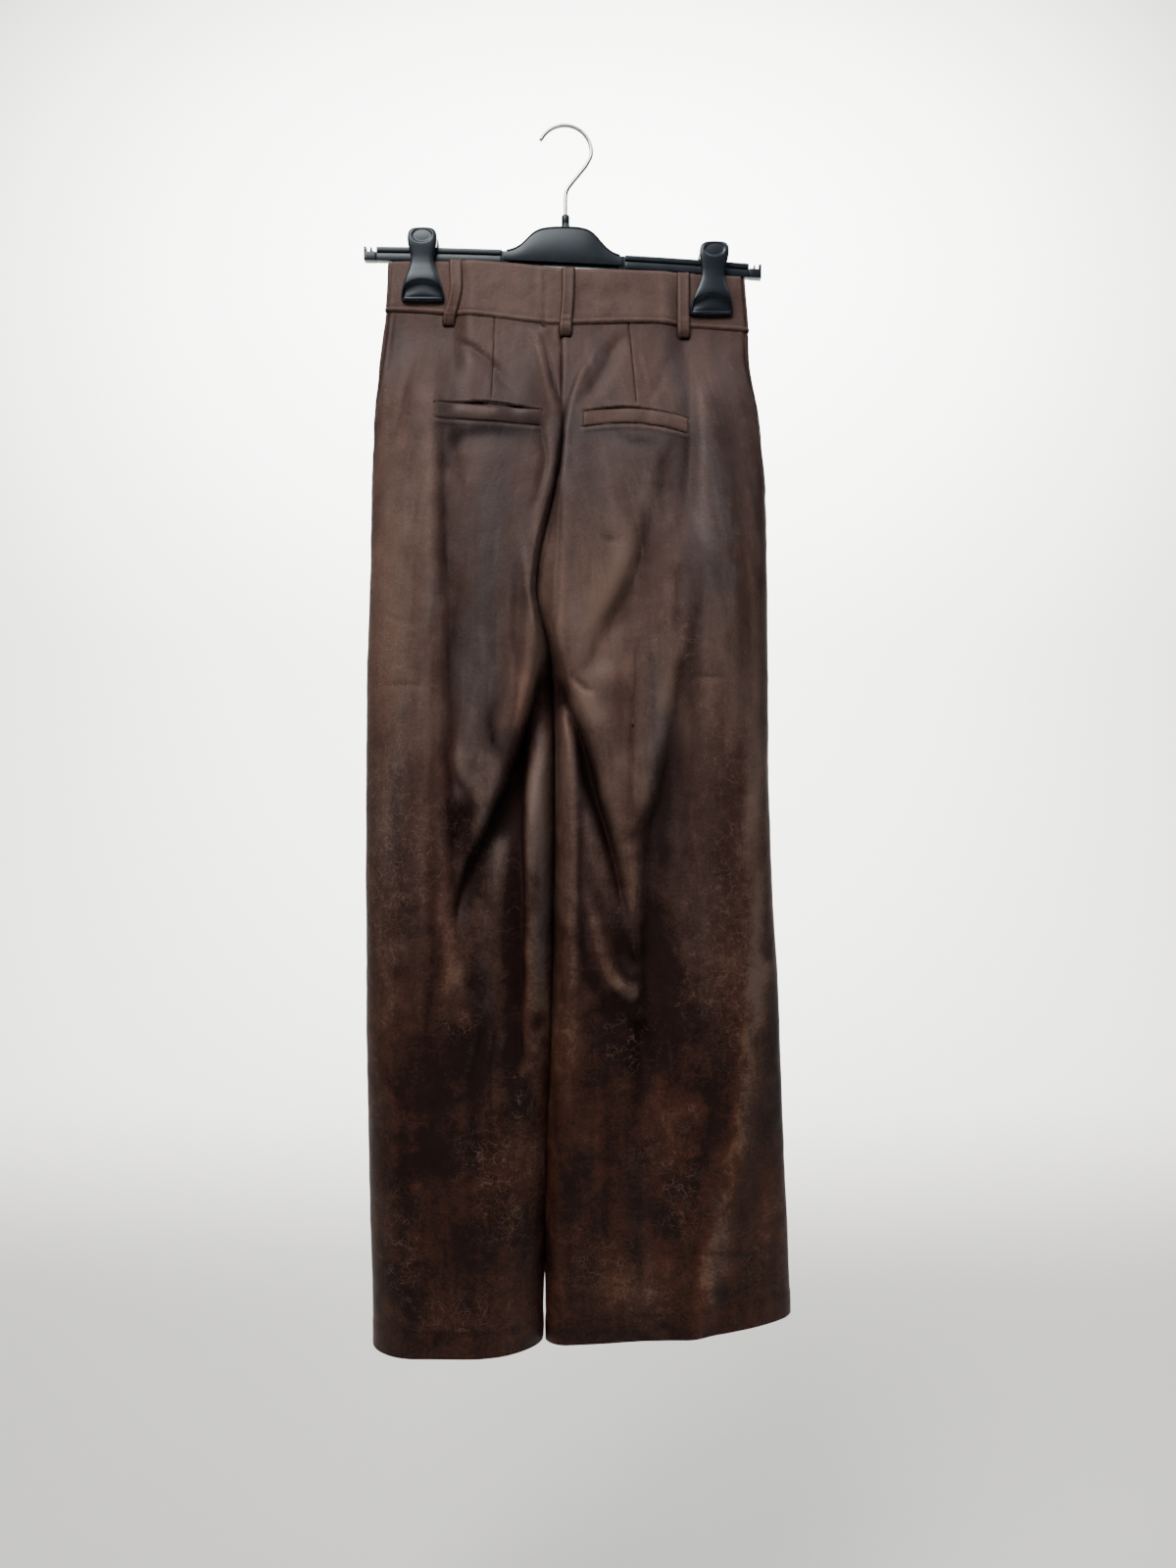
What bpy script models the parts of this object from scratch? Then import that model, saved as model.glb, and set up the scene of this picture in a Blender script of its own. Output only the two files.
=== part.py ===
# Wide-leg faux leather trousers on a clip hanger, seen from the back.
# Lengths are in millimetres until a mesh is made. "drop" is the distance below the crest of the hook,
# x runs to the right, y away from the viewer: the back of the trousers faces -y, the front +y.

from collections import namedtuple
import math

import bmesh
import bpy
import numpy as np
from mathutils import Vector
from mathutils.bvhtree import BVHTree

MM = 0.001

# Cloth
CLOTH_WALL = 1.4
BAND_WALL = 2.4
SEAM_GAP = 0.3
EDGE_SKIVE = 0.12        # upright edges are cut back this much on the inside, to clear each other
LAY_GAP = 0.5            # between a panel and a piece that lies on it
LAY_SPREAD = 2.5         # a laid piece clears the highest cloth within this distance
BAND_TOP_DROP = 138.0    # mean height of the band's top edge
BAND_DROP = 190.0        # mean height of the waist seam
HEM_DROP = 1170.0        # mean height of the hems
LEG_ROWS = 42
BACK_COLUMNS, FRONT_COLUMNS = 17, 12
BAND_ROWS, BAND_COLUMNS = 3, 15

# Hanger
BAR_HEIGHT, BAR_DEPTH = 13.0, 9.0
BAR_LEFT = (-194.0, 123.5)      # middle of the bar's left end: x, drop
BAR_RIGHT = (190.5, 141.0)
BAR_BOW = 3.4                   # how far the bar's middle arches up
NOTCH_FROM_END, NOTCH_WIDTH, NOTCH_DEPTH = 8.0, 4.0, 4.5
BODY_TOP_DROP, BODY_TOP_HALF = 97.5, 23.5
BODY_FOOT_HALF = 55.0
BODY_MIDDLE = -1.0
BAR_EDGE = 1.0                  # how far the hanger's edges are rounded
WIRE = 3.4
HOOK_RADIUS = 26.0
HOOK_X = 1.0                    # where the wire enters the body
SOCKET_TOP_DROP, SOCKET_RADIUS = 86.0, 3.9

# Outline of the trousers: where the left and right edges are, and how deep each edge lies
Outline = namedtuple("Outline", "drop left left_y right right_y")
OUTLINE = (
    Outline(130, -169.0, 0, 172.5, 0),
    Outline(190, -171.5, 0, 176.5, 0),
    Outline(215, -174.5, -1, 176.8, 0),
    Outline(240, -177.5, -2, 180.5, 0),
    Outline(280, -181.0, -2, 187.3, 0),
    Outline(330, -183.8, -3, 192.5, 1),
    Outline(400, -185.4, -3, 195.0, 2),
    Outline(500, -188.2, -4, 196.4, 4),
    Outline(640, -189.7, -6, 197.8, 7),
    Outline(740, -189.4, -7, 201.2, 9),
    Outline(830, -189.0, -7, 207.2, 12),
    Outline(925, -187.8, -8, 210.6, 14),
    Outline(1020, -185.8, -8, 214.8, 18),
    Outline(1110, -183.0, -8, 219.3, 21),
    Outline(1170, -182.4, -9, 221.5, 23),
)

# Depth of the flat of the back and of the front, and how far each outer edge rounds in
Depth = namedtuple("Depth", "drop back_left front_left round_left back_right front_right round_right")
DEPTH = (
    Depth(130, -10, 10, 10, -10, 10, 10),
    Depth(190, -11, 11, 14, -11, 11, 14),
    Depth(250, -20, 17, 40, -21, 17, 42),
    Depth(300, -29, 23, 55, -29, 23, 62),
    Depth(400, -39, 32, 60, -39, 32, 72),
    Depth(500, -42, 38, 60, -42, 36, 80),
    Depth(700, -44, 46, 52, -41, 41, 95),
    Depth(900, -46, 52, 46, -35, 46, 120),
    Depth(1170, -48, 58, 46, -26, 52, 150),
)

# The middle: where the two halves meet, half the gap there, how deep the back and front
# seams lie, and how far each half rounds into them. Both seams meet at the crotch.
Middle = namedtuple("Middle", "drop x gap back_y front_y round_left round_right")
MIDDLE = (
    Middle(130, -1.0, 0.15, -10, 10, 6, 6),
    Middle(190, -2.6, 0.15, -11, 11, 6, 6),
    Middle(240, -2.6, 0.15, -16, 15, 8, 10),
    Middle(275, -2.6, 0.15, -14, 19, 8, 10),
    Middle(310, -3.5, 0.15, -6, 23, 7, 8),
    Middle(360, -8.5, 0.15, 0, 25, 9, 10),
    Middle(410, -14.5, 0.15, 5, 21, 12, 14),
    Middle(465, -15.0, 0.3, 7, 7, 16, 16),
    Middle(520, -11.5, 1.0, 5, 5, 20, 18),
    Middle(600, -9.3, 1.5, 2, 2, 26, 20),
    Middle(700, -9.6, 1.5, 0, 0, 34, 22),
    Middle(820, -11.2, 1.5, -2, -2, 44, 24),
    Middle(960, -15.8, 1.6, -4, -4, 58, 24),
    Middle(1080, -18.6, 2.0, -6, -6, 70, 22),
    Middle(1170, -19.2, 2.2, -8, -8, 75, 20),
)
CROTCH_DROP = 465.0

# Edges that run across the cloth
Level = namedtuple("Level", "x band_top band_seam hem")
LEVELS = (
    Level(-185, 133.0, 180.0, 1170.5),
    Level(-138, 132.0, 181.0, 1170.5),
    Level(-70, 135.0, 188.0, 1170.0),
    Level(-2, 141.8, 195.0, 1168.0),
    Level(72, 143.7, 193.5, 1165.5),
    Level(143, 145.8, 197.0, 1161.0),
    Level(222, 149.0, 202.0, 1156.5),
)

# The side seams turn from the back edge to the front edge: distance behind the outer edge
SideSeam = namedtuple("SideSeam", "drop shift")
SIDE_SEAM = (
    SideSeam(130, 7), SideSeam(190, 7), SideSeam(250, 7), SideSeam(315, 3),
    SideSeam(400, -5), SideSeam(700, -12), SideSeam(1170, -14),
)

# Where the clips press the cloth flat
CLIP_X = (-136.5, 142.5)
PINCH_HALF_WIDTH, PINCH_FADE = 27.0, 22.0
PINCH_DEPTH = 3.6
PINCH_FULL_DROP, PINCH_END_DROP = 188.0, 275.0

# Folds: reach to the left and right of the line, then rows of (drop, x, rise)
Fold = namedtuple("Fold", "name left right path")
BACK_FOLDS = (
    Fold("left hollow at the side", 12, 12, (
        (195, -158, 0), (215, -159, -2), (300, -164, -3), (400, -169, -3), (470, -172, 0))),
    Fold("left ridge under the clip", 17, 10, (
        (200, -127, 1), (300, -127, 5), (400, -130, 6), (600, -135, 6), (760, -138, 5), (960, -140, 0))),
    Fold("left outer trough", 10, 15, (
        (275, -118, 0), (320, -115, -4), (406, -109, -9), (520, -105, -11), (640, -106, -11),
        (735, -101, -12), (800, -97, -8), (930, -88, 0))),
    Fold("left seat", 34, 34, (
        (240, -70, 0), (330, -68, 4), (450, -70, 5), (600, -78, 5), (690, -86, 6), (735, -90, 0))),
    Fold("left crest by the middle", 26, 9, (
        (200, -19, 1), (250, -12, 3), (285, -9, 5), (325, -10, 5), (370, -19, 6), (405, -27, 6),
        (445, -30, 6), (530, -33, 5), (600, -49, 4), (646, -67, 3), (700, -88, 0))),
    Fold("left crease by the crest", 6, 7, (
        (416, -42, 0), (470, -40, -3), (545, -41, -4), (600, -46, -2), (630, -50, 0))),
    Fold("left hollow under the seat", 9, 30, (
        (505, -20, 0), (545, -25, -12), (600, -39, -19), (646, -56, -21), (682, -72, -19),
        (714, -87, -13), (745, -97, -6), (780, -100, 0))),
    Fold("left inner strip", 8, 9, (
        (560, -21, 0), (620, -21, 6), (740, -22, 7), (860, -24, 4), (950, -25, 0))),
    Fold("left trough by the strip", 12, 8, (
        (640, -46, 0), (700, -45, -5), (760, -44, -9), (820, -44, -9), (894, -50, -4), (960, -54, 0))),
    Fold("left knee ridge", 11, 9, (
        (730, -112, 0), (782, -103, 4), (820, -97, 6), (855, -91, 5), (905, -86, 0))),
    Fold("left shin trough", 9, 12, (
        (825, -64, 0), (872, -78, -4), (915, -83, -5), (1000, -86, -2), (1080, -88, 0))),
    Fold("left lower ridge", 26, 30, (
        (960, -62, 0), (1050, -62, 3), (1120, -60, 3), (1171, -58, 2))),
    Fold("right crease to the pocket", 8, 9, (
        (200, 54, 0), (225, 45, -3), (258, 29, -3), (285, 16, 0))),
    Fold("left crease to the pocket", 9, 8, (
        (205, -104, 0), (235, -84, -3), (262, -62, -3), (285, -45, 0))),
    Fold("right crest by the middle", 9, 26, (
        (205, 28, 0), (250, 16, 3), (290, 6, 5), (333, 4, 6), (390, 4, 7), (448, 2, 7), (508, 1, 6),
        (530, 4, 6), (553, 11, 6), (588, 27, 6), (636, 37, 6), (700, 46, 6), (764, 55, 5), (828, 67, 0))),
    Fold("right seat", 34, 30, (
        (240, 58, 0), (330, 55, 4), (420, 48, 5), (500, 40, 2), (560, 40, 0))),
    Fold("right diagonal trough", 13, 12, (
        (295, 116, 0), (330, 110, -5), (371, 98, -8), (426, 78, -9), (472, 57, -8), (517, 34, -4),
        (545, 22, 0))),
    Fold("right trough under the loop", 8, 8, (
        (200, 118, -1), (241, 119, -4), (296, 120, -4), (369, 116, -3), (425, 108, 0))),
    Fold("right ridge under the clip", 10, 14, (
        (200, 131, 1), (300, 133, 4), (400, 135, 5), (540, 136, 5), (650, 130, 0))),
    Fold("right outer trough", 12, 10, (
        (240, 152, 0), (300, 158, -3), (420, 168, -4), (600, 172, -4), (700, 168, 0))),
    Fold("right long trough", 13, 22, (
        (430, 142, 0), (527, 119, -5), (582, 106, -8), (646, 97, -9), (700, 87, -12), (755, 80, -13),
        (820, 74, -13), (874, 66, -9), (940, 58, 0))),
    Fold("right hollow under the seat", 12, 9, (
        (545, -2, 0), (588, 9, -10), (640, 17, -16), (700, 25, -17), (760, 35, -12), (810, 49, -7),
        (850, 60, 0))),
    Fold("right inner strip", 9, 8, (
        (580, 2, 0), (620, 2, 5), (700, 3, 6), (780, 5, 4), (860, 8, 0))),
    Fold("right curved fold", 8, 8, (
        (700, 12, 0), (740, 23, 4), (785, 36, 6), (825, 52, 6), (850, 64, 3), (872, 70, 0))),
    Fold("right soft lower ridge", 20, 20, (
        (780, 188, 0), (860, 181, 3), (940, 170, 5), (1040, 150, 5), (1120, 130, 4), (1171, 118, 3))),
    Fold("right lower trough", 30, 26, (
        (860, 120, 0), (960, 112, -3), (1060, 84, -4), (1171, 70, -3))),
)
FRONT_FOLDS = (
    Fold("left front fold", 16, 14, (
        (230, -72, 0), (330, -76, 4), (480, -86, 6), (700, -94, 6), (950, -98, 5), (1171, -100, 4))),
    Fold("left front trough", 18, 18, (
        (320, -120, 0), (430, -122, -6), (600, -126, -8), (850, -130, -8), (1171, -132, -7))),
    Fold("left inner tuck", 17, 17, (
        (430, -50, 0), (560, -54, -9), (720, -60, -16), (950, -64, -20), (1171, -66, -20))),
    Fold("left crease from the crotch", 10, 12, (
        (350, -18, 0), (400, -34, -5), (450, -58, -6), (500, -86, -3), (530, -100, 0))),
    Fold("right front fold", 18, 20, (
        (230, 74, 0), (330, 80, 4), (480, 92, 6), (700, 100, 6), (950, 108, 6), (1171, 112, 5))),
    Fold("right front trough", 20, 18, (
        (330, 136, 0), (450, 142, -5), (650, 150, -6), (900, 160, -6), (1171, 168, -5))),
    Fold("right inner trough", 16, 16, (
        (480, 36, 0), (600, 42, -5), (800, 48, -7), (1000, 50, -6), (1171, 52, -5))),
    Fold("right crease from the crotch", 12, 10, (
        (350, 10, 0), (400, 26, -5), (450, 50, -6), (500, 78, -3), (530, 92, 0))),
)
LEAST_REACH = 9.0        # a fold is no narrower than this on these coarse walls


def smooth(places, values, where):
    """Read a table between its rows along a smooth curve."""
    places = np.asarray(places, float)
    values = np.asarray(values, float)
    where = np.clip(np.asarray(where, float), places[0], places[-1])
    steps = np.diff(values) / np.diff(places)
    slopes = np.zeros_like(values)
    same_way = steps[:-1] * steps[1:] > 0
    slopes[1:-1] = np.where(same_way, 0.5 * (steps[:-1] + steps[1:]), 0.0)
    limit = 3.0 * np.minimum(np.abs(steps[:-1]), np.abs(steps[1:]))
    slopes[1:-1] = np.clip(slopes[1:-1], -limit, limit)
    row = np.clip(np.searchsorted(places, where, side="right") - 1, 0, len(places) - 2)
    span = places[row + 1] - places[row]
    t = (where - places[row]) / span
    from_start = values[row] * (2 * t**3 - 3 * t**2 + 1) + slopes[row] * span * (t**3 - 2 * t**2 + t)
    from_end = values[row + 1] * (3 * t**2 - 2 * t**3) + slopes[row + 1] * span * (t**3 - t**2)
    return from_start + from_end


def read(table, column, where):
    """Read one named column of a table at a height, or at an x for LEVELS."""
    return smooth([row[0] for row in table], [getattr(row, column) for row in table], where)


def ease(t):
    t = np.clip(t, 0.0, 1.0)
    return t * t * (3 - 2 * t)


def folds_at(folds, x, drop):
    """How far a set of folds lifts the cloth at each point."""
    lift = np.zeros(np.broadcast(x, drop).shape)
    for fold in folds:
        drops, places, rises = zip(*fold.path)
        line = smooth(drops, places, drop)
        rise = np.where((drop < drops[0]) | (drop > drops[-1]), 0.0, smooth(drops, rises, drop))
        reach = np.where(x < line, max(fold.left, LEAST_REACH), max(fold.right, LEAST_REACH))
        lift = lift + rise * np.exp(-((x - line) / reach) ** 2)
    return lift


def pinch_at(x, drop):
    """1 where the clips press the cloth flat, 0 away from them."""
    near = np.zeros(np.broadcast(x, drop).shape)
    for clip_x in CLIP_X:
        near = np.maximum(near, 1 - ease((np.abs(x - clip_x) - PINCH_HALF_WIDTH) / PINCH_FADE))
    return near * (1 - ease((drop - PINCH_FULL_DROP) / (PINCH_END_DROP - PINCH_FULL_DROP)))


def side_name(half):
    return "left" if half < 0 else "right"


def section(half, drop):
    """One half of the trousers in plan at a height, from the back seam round to the front seam.

    Gives x, y and how squarely each point faces back (1) or front (-1)."""
    side = side_name(half)
    start_x = read(MIDDLE, "x", drop) + half * read(MIDDLE, "gap", drop)
    width = half * (read(OUTLINE, side, drop) - start_x)
    edge_y = read(OUTLINE, side + "_y", drop)
    back_y = read(DEPTH, "back_" + side, drop)
    front_y = read(DEPTH, "front_" + side, drop)
    outer_back = min(read(DEPTH, "round_" + side, drop), 0.66 * width)
    outer_front = min(outer_back, 64.0)
    inner = read(MIDDLE, "round_" + side, drop)
    seam_back_y = read(MIDDLE, "back_y", drop)
    seam_front_y = seam_back_y if drop >= CROTCH_DROP else read(MIDDLE, "front_y", drop)
    turn = np.linspace(0, math.pi / 2, 13)
    flat = np.linspace(0, 1, 15)[1:-1]
    sine, cosine = np.sin(turn), np.cos(turn)
    across = np.concatenate([
        inner * (1 - cosine),
        inner + (width - outer_back - inner) * flat,
        width - outer_back + outer_back * sine,
        (width - outer_front + outer_front * cosine)[1:],
        width - outer_front + (inner - width + outer_front) * flat,
        inner * (1 - sine),
    ])
    depth = np.concatenate([
        seam_back_y + (back_y - seam_back_y) * sine,
        np.full(flat.shape, back_y),
        edge_y + (back_y - edge_y) * cosine,
        (edge_y + (front_y - edge_y) * sine)[1:],
        np.full(flat.shape, front_y),
        seam_front_y + (front_y - seam_front_y) * cosine,
    ])
    facing = np.concatenate([
        sine, np.ones(flat.shape), cosine, -sine[1:], -np.ones(flat.shape), -cosine])
    return start_x + half * across, depth, facing


def shaped(x, y, facing, drop):
    """Press the section flat at the clips, then add the folds."""
    pressed = pinch_at(x, drop)
    y = y * (1 - pressed) + np.clip(y, -PINCH_DEPTH, PINCH_DEPTH) * pressed
    back = folds_at(BACK_FOLDS, x, drop) * np.clip(facing, 0, 1)
    front = folds_at(FRONT_FOLDS, x, drop) * np.clip(-facing, 0, 1)
    return y - (1 - pressed) * back + (1 - pressed) * front


def paced(x, y):
    """Distance along a section, with extra where it turns, so that corners get more columns."""
    per_radian = 16.0
    step_x, step_y = np.diff(x), np.diff(y)
    length = np.hypot(step_x, step_y)
    heading = np.unwrap(np.arctan2(step_y, step_x))
    turn = np.abs(np.diff(heading, prepend=heading[0]))
    return (np.concatenate([[0], np.cumsum(length)]),
            np.concatenate([[0], np.cumsum(length + per_radian * turn)]))


def half_row(half, drop, columns, part, aside=0.0):
    """Points across the back or the front of one half at a height.

    aside moves every point along the section, to feel which way the cloth runs."""
    x, y, facing = section(half, drop)
    distance, pace = paced(x, y)
    edge = np.argmax(half * x)
    seam = distance[edge] - read(SIDE_SEAM, "shift", drop)
    gap = SEAM_GAP / 2
    inseam_gap = gap if drop > CROTCH_DROP else 0.0
    if part == "back":
        ends = (inseam_gap, seam - gap)
    else:
        ends = (seam + gap, distance[-1] - inseam_gap)
    start, stop = np.interp(ends, distance, pace)
    along = np.interp(np.linspace(start, stop, columns), pace, distance) + aside
    return tuple(np.interp(along, distance, values) for values in (x, y, facing))


def cloth_rows(half, part, columns, shares, upper, lower, aside=0.0):
    """A grid of points between two cross edges of the cloth, given as columns of LEVELS."""
    nominal = {"band_top": BAND_TOP_DROP, "band_seam": BAND_DROP, "hem": HEM_DROP}
    rows = []
    for share in shares:
        drop = nominal[upper] + (nominal[lower] - nominal[upper]) * share
        x, y, facing = half_row(half, drop, columns, part, aside)
        top = read(LEVELS, upper, x)
        bottom = read(LEVELS, lower, x)
        true_drop = top + (bottom - top) * share
        y = shaped(x, y, facing, true_drop)
        rows.append(np.stack([x, y, -true_drop], axis=1))
    return np.array(rows)


def cloth_with_normals(half, part, columns, shares, upper, lower):
    """The grid and its outward directions, which match across every seam."""
    feel = 3.5
    length = BAND_DROP - BAND_TOP_DROP if upper == "band_top" else HEM_DROP - BAND_DROP
    points = cloth_rows(half, part, columns, shares, upper, lower)
    across = (cloth_rows(half, part, columns, shares, upper, lower, feel)
              - cloth_rows(half, part, columns, shares, upper, lower, -feel))
    down = (cloth_rows(half, part, columns, np.add(shares, feel / length), upper, lower)
            - cloth_rows(half, part, columns, np.subtract(shares, feel / length), upper, lower))
    outward = half * np.cross(down, across)
    outward /= np.linalg.norm(outward, axis=2, keepdims=True)
    return points, outward


# Materials: name, colour, roughness, metallic
Finish = namedtuple("Finish", "name colour roughness metallic")
LEATHER = Finish("faux_leather", (0.060, 0.030, 0.022), 0.42, 0.0)
LEATHER_TRIM = Finish("faux_leather_trim", (0.050, 0.025, 0.019), 0.42, 0.0)
HANGER_PLASTIC = Finish("hanger_plastic", (0.012, 0.012, 0.013), 0.32, 0.0)
HOOK_STEEL = Finish("hook_steel", (0.62, 0.62, 0.61), 0.22, 1.0)


def material_for(name, finish):
    material = bpy.data.materials.new(name + "_" + finish.name)
    material.use_nodes = True
    shader = material.node_tree.nodes["Principled BSDF"]
    shader.inputs["Base Color"].default_value = (*finish.colour, 1.0)
    shader.inputs["Roughness"].default_value = finish.roughness
    shader.inputs["Metallic"].default_value = finish.metallic
    return material


def add_object(name, mesh, finish):
    obj = bpy.data.objects.new(name, mesh)
    mesh.materials.append(material_for(name, finish))
    parts.objects.link(obj)
    return obj


def sheet_mesh(name, grid, outward):
    """An open surface through a grid of points in mm, facing the given way."""
    rows, columns = grid.shape[:2]
    mesh = bpy.data.meshes.new(name)
    corners = [Vector(point) * MM for point in grid.reshape(-1, 3)]
    faces = []
    for row in range(rows - 1):
        for column in range(columns - 1):
            a = row * columns + column
            faces.append((a, a + 1, a + 1 + columns, a + columns))
    mesh.from_pydata(corners, [], faces)
    mesh.update()
    middle = mesh.polygons[len(mesh.polygons) // 2]
    if middle.normal.dot(Vector(outward)) < 0:
        mesh.flip_normals()
    mesh.shade_smooth()
    return mesh


def add_cloth(name, grid, outward, wall, finish=LEATHER):
    """A sewn piece: a sheet whose wall grows inwards from its outer face."""
    obj = add_object(name, sheet_mesh(name, grid, outward), finish)
    wall_modifier = obj.modifiers.new("Wall", "SOLIDIFY")
    wall_modifier.thickness = wall * MM
    wall_modifier.offset = -1.0
    wall_modifier.use_even_offset = True
    return obj


def add_wall(name, points, outward, wall, finish=LEATHER):
    """A sewn panel: a loft through its rows, with its wall grown inwards and its edges closed."""
    rows, columns = points.shape[:2]
    count = rows * columns
    inner = points - wall * outward
    for edge, beside in ((0, 1), (-1, -2)):
        toward = inner[:, beside] - inner[:, edge]
        inner[:, edge] += EDGE_SKIVE * toward / np.linalg.norm(toward, axis=1, keepdims=True)
    corners = np.concatenate([points.reshape(-1, 3), inner.reshape(-1, 3)])
    grid = np.arange(count).reshape(rows, columns)
    faces = []
    for row in range(rows - 1):
        for column in range(columns - 1):
            a, b = grid[row, column], grid[row, column + 1]
            d, c = grid[row + 1, column], grid[row + 1, column + 1]
            if np.linalg.norm(corners[a] - corners[c]) < np.linalg.norm(corners[b] - corners[d]):
                halves = ((a, b, c), (a, c, d))
            else:
                halves = ((a, b, d), (b, c, d))
            for outer in halves:
                faces.append(outer)
                faces.append([index + count for index in reversed(outer)])
    rim = [*grid[0, :], *grid[1:, -1], *grid[-1, -2::-1], *grid[-2:0:-1, 0]]
    for here, after in zip(rim, rim[1:] + rim[:1]):
        faces.append([after, here, here + count, after + count])
    mesh = bpy.data.meshes.new(name)
    corners = [Vector(corner) * MM for corner in corners]
    mesh.from_pydata(corners, [], [[int(i) for i in face] for face in faces])
    mesh.update()
    middle = mesh.polygons[4 * ((rows // 2) * (columns - 1) + columns // 2)]
    if middle.normal.dot(Vector(outward[rows // 2, columns // 2])) < 0:
        mesh.flip_normals()
    mesh.shade_smooth()
    mesh.set_sharp_from_angle(angle=math.radians(60))
    return add_object(name, mesh, finish)


BACKWARD, FORWARD = (0, -1, 0), (0, 1, 0)


def add_leg_panels():
    shares = np.linspace(SEAM_GAP / 2 / (HEM_DROP - BAND_DROP), 1, LEG_ROWS)
    for half in (-1, 1):
        side = side_name(half)
        for part, columns in (("back", BACK_COLUMNS), ("front", FRONT_COLUMNS)):
            points, outward = cloth_with_normals(half, part, columns, shares, "band_seam", "hem")
            add_wall(part + "_" + side, points, outward, CLOTH_WALL)


def add_waistband():
    """The band in three pieces: the whole back, and a front on each side of the fly."""
    shares = np.linspace(0, 1 - SEAM_GAP / 2 / (BAND_DROP - BAND_TOP_DROP), BAND_ROWS)
    back = {}
    for half in (-1, 1):
        back[half] = cloth_with_normals(half, "back", BAND_COLUMNS, shares, "band_top", "band_seam")
        points, outward = cloth_with_normals(half, "front", BAND_COLUMNS, shares, "band_top", "band_seam")
        add_wall("waistband_front_" + side_name(half), points, outward, BAND_WALL, LEATHER_TRIM)
    points, outward = (
        np.concatenate([left[:, :0:-1], right[:, 1:]], axis=1) for left, right in zip(back[-1], back[1]))
    add_wall("waistband_back", points, outward, BAND_WALL, LEATHER_TRIM)


def surface_tree(names):
    """The outer faces of finished pieces, to lay other pieces on."""
    corners, faces = [], []
    for name in names:
        mesh = bpy.data.objects[name].data
        start = len(corners)
        corners += [vertex.co.copy() for vertex in mesh.vertices]
        faces += [[start + index for index in face.vertices] for face in mesh.polygons]
    return BVHTree.FromPolygons(corners, faces)


def lay_on(tree, x, drop, facing, lift):
    """A point over the cloth at an x and a height, moved out by lift from the highest cloth near it."""
    toward = Vector((0, -facing, 0))
    depths = []
    for aside, down in ((0, 0), (LAY_SPREAD, 0), (-LAY_SPREAD, 0), (0, LAY_SPREAD), (0, -LAY_SPREAD)):
        start = Vector(((x + aside) * MM, facing * 0.3, -(drop + down) * MM))
        hit = tree.ray_cast(start, toward)[0]
        if hit:
            depths.append(facing * hit.y / MM)
    return (x, facing * (max(depths) + lift), -drop)


def laid_grid(tree, left, right, top, bottom, facing, lift, columns, rows):
    """A grid on the cloth between two upright edges and two cross edges."""
    grid = []
    for down in np.linspace(0, 1, rows):
        line = []
        for across in np.linspace(0, 1, columns):
            x = left(down) + (right(down) - left(down)) * across
            drop = top(across) + (bottom(across) - top(across)) * down
            line.append(lay_on(tree, x, drop, facing, lift(down)))
        grid.append(line)
    return np.array(grid)


# Back pocket welts: ends of the upper edge as (x, drop), how much the edge bows up, height
Welt = namedtuple("Welt", "side left_x left_drop right_x right_drop bow height")
WELTS = (
    Welt("left", -120.5, 274.8, -20.5, 282.5, 0.5, 16.0),
    Welt("right", 18.8, 283.5, 117.3, 289.6, 6.0, 14.8),
)
WELT_WALL = 1.3


def add_pocket_welts():
    for welt in WELTS:
        tree = surface_tree(["back_" + welt.side])

        def top(across, welt=welt):
            bow = welt.bow * math.sin(math.pi * across)
            return welt.left_drop + (welt.right_drop - welt.left_drop) * across - bow

        grid = laid_grid(
            tree, lambda down: welt.left_x, lambda down: welt.right_x, top,
            lambda across: top(across) + welt.height, -1,
            lambda down: LAY_GAP + WELT_WALL, 15, 4)
        add_cloth("pocket_welt_" + welt.side, grid, BACKWARD, WELT_WALL, LEATHER_TRIM)


# Belt loops: x at the top and bottom, facing, and how far the toe hangs below the waist seam
Loop = namedtuple("Loop", "name top_x bottom_x facing toe")
LOOPS = (
    Loop("belt_loop_back_left", -105.0, -110.6, -1, 9.0),
    Loop("belt_loop_back_middle", 4.0, 1.0, -1, 10.5),
    Loop("belt_loop_back_right", 114.6, 114.9, -1, 9.5),
    Loop("belt_loop_front_left", -74.0, -76.0, 1, 9.0),
    Loop("belt_loop_front_right", 76.0, 78.0, 1, 9.0),
)
LOOP_WIDTH, LOOP_WALL, LOOP_STAND_OFF = 10.2, 2.0, 1.4
LOOP_BELOW_TOP = 0.6


def add_belt_loops():
    band = ["waistband_back", "waistband_front_left", "waistband_front_right"]
    tree = surface_tree(band + ["back_left", "back_right", "front_left", "front_right"])
    for loop in LOOPS:
        top = float(read(LEVELS, "band_top", loop.top_x)) + LOOP_BELOW_TOP
        bottom = float(read(LEVELS, "band_seam", loop.bottom_x)) + loop.toe
        slant = loop.bottom_x - loop.top_x
        grid = laid_grid(
            tree, lambda down: loop.top_x + slant * down - LOOP_WIDTH / 2,
            lambda down: loop.top_x + slant * down + LOOP_WIDTH / 2,
            lambda across: top, lambda across: bottom, loop.facing,
            lambda down: LAY_GAP + LOOP_WALL + LOOP_STAND_OFF * math.sin(math.pi * down) ** 0.7, 3, 14)
        add_cloth(loop.name, grid, (0, loop.facing, 0), LOOP_WALL, LEATHER_TRIM)


# Front pocket mouths: a folded edge that runs from the waist seam out to the side seam.
# Distances are from the side seam, across the front.
POCKET_EDGE_WIDTH, POCKET_EDGE_WALL, POCKET_EDGE_EXTRA = 12.0, 1.3, 0.4
POCKET_TOP_DROP, POCKET_FOOT_DROP = 206.0, 345.0
POCKET_TOP_FROM_SEAM, POCKET_FOOT_FROM_SEAM = 46.0, 2.0
POCKET_EDGE_COLUMNS, POCKET_EDGE_ROWS = 4, 16


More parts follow.
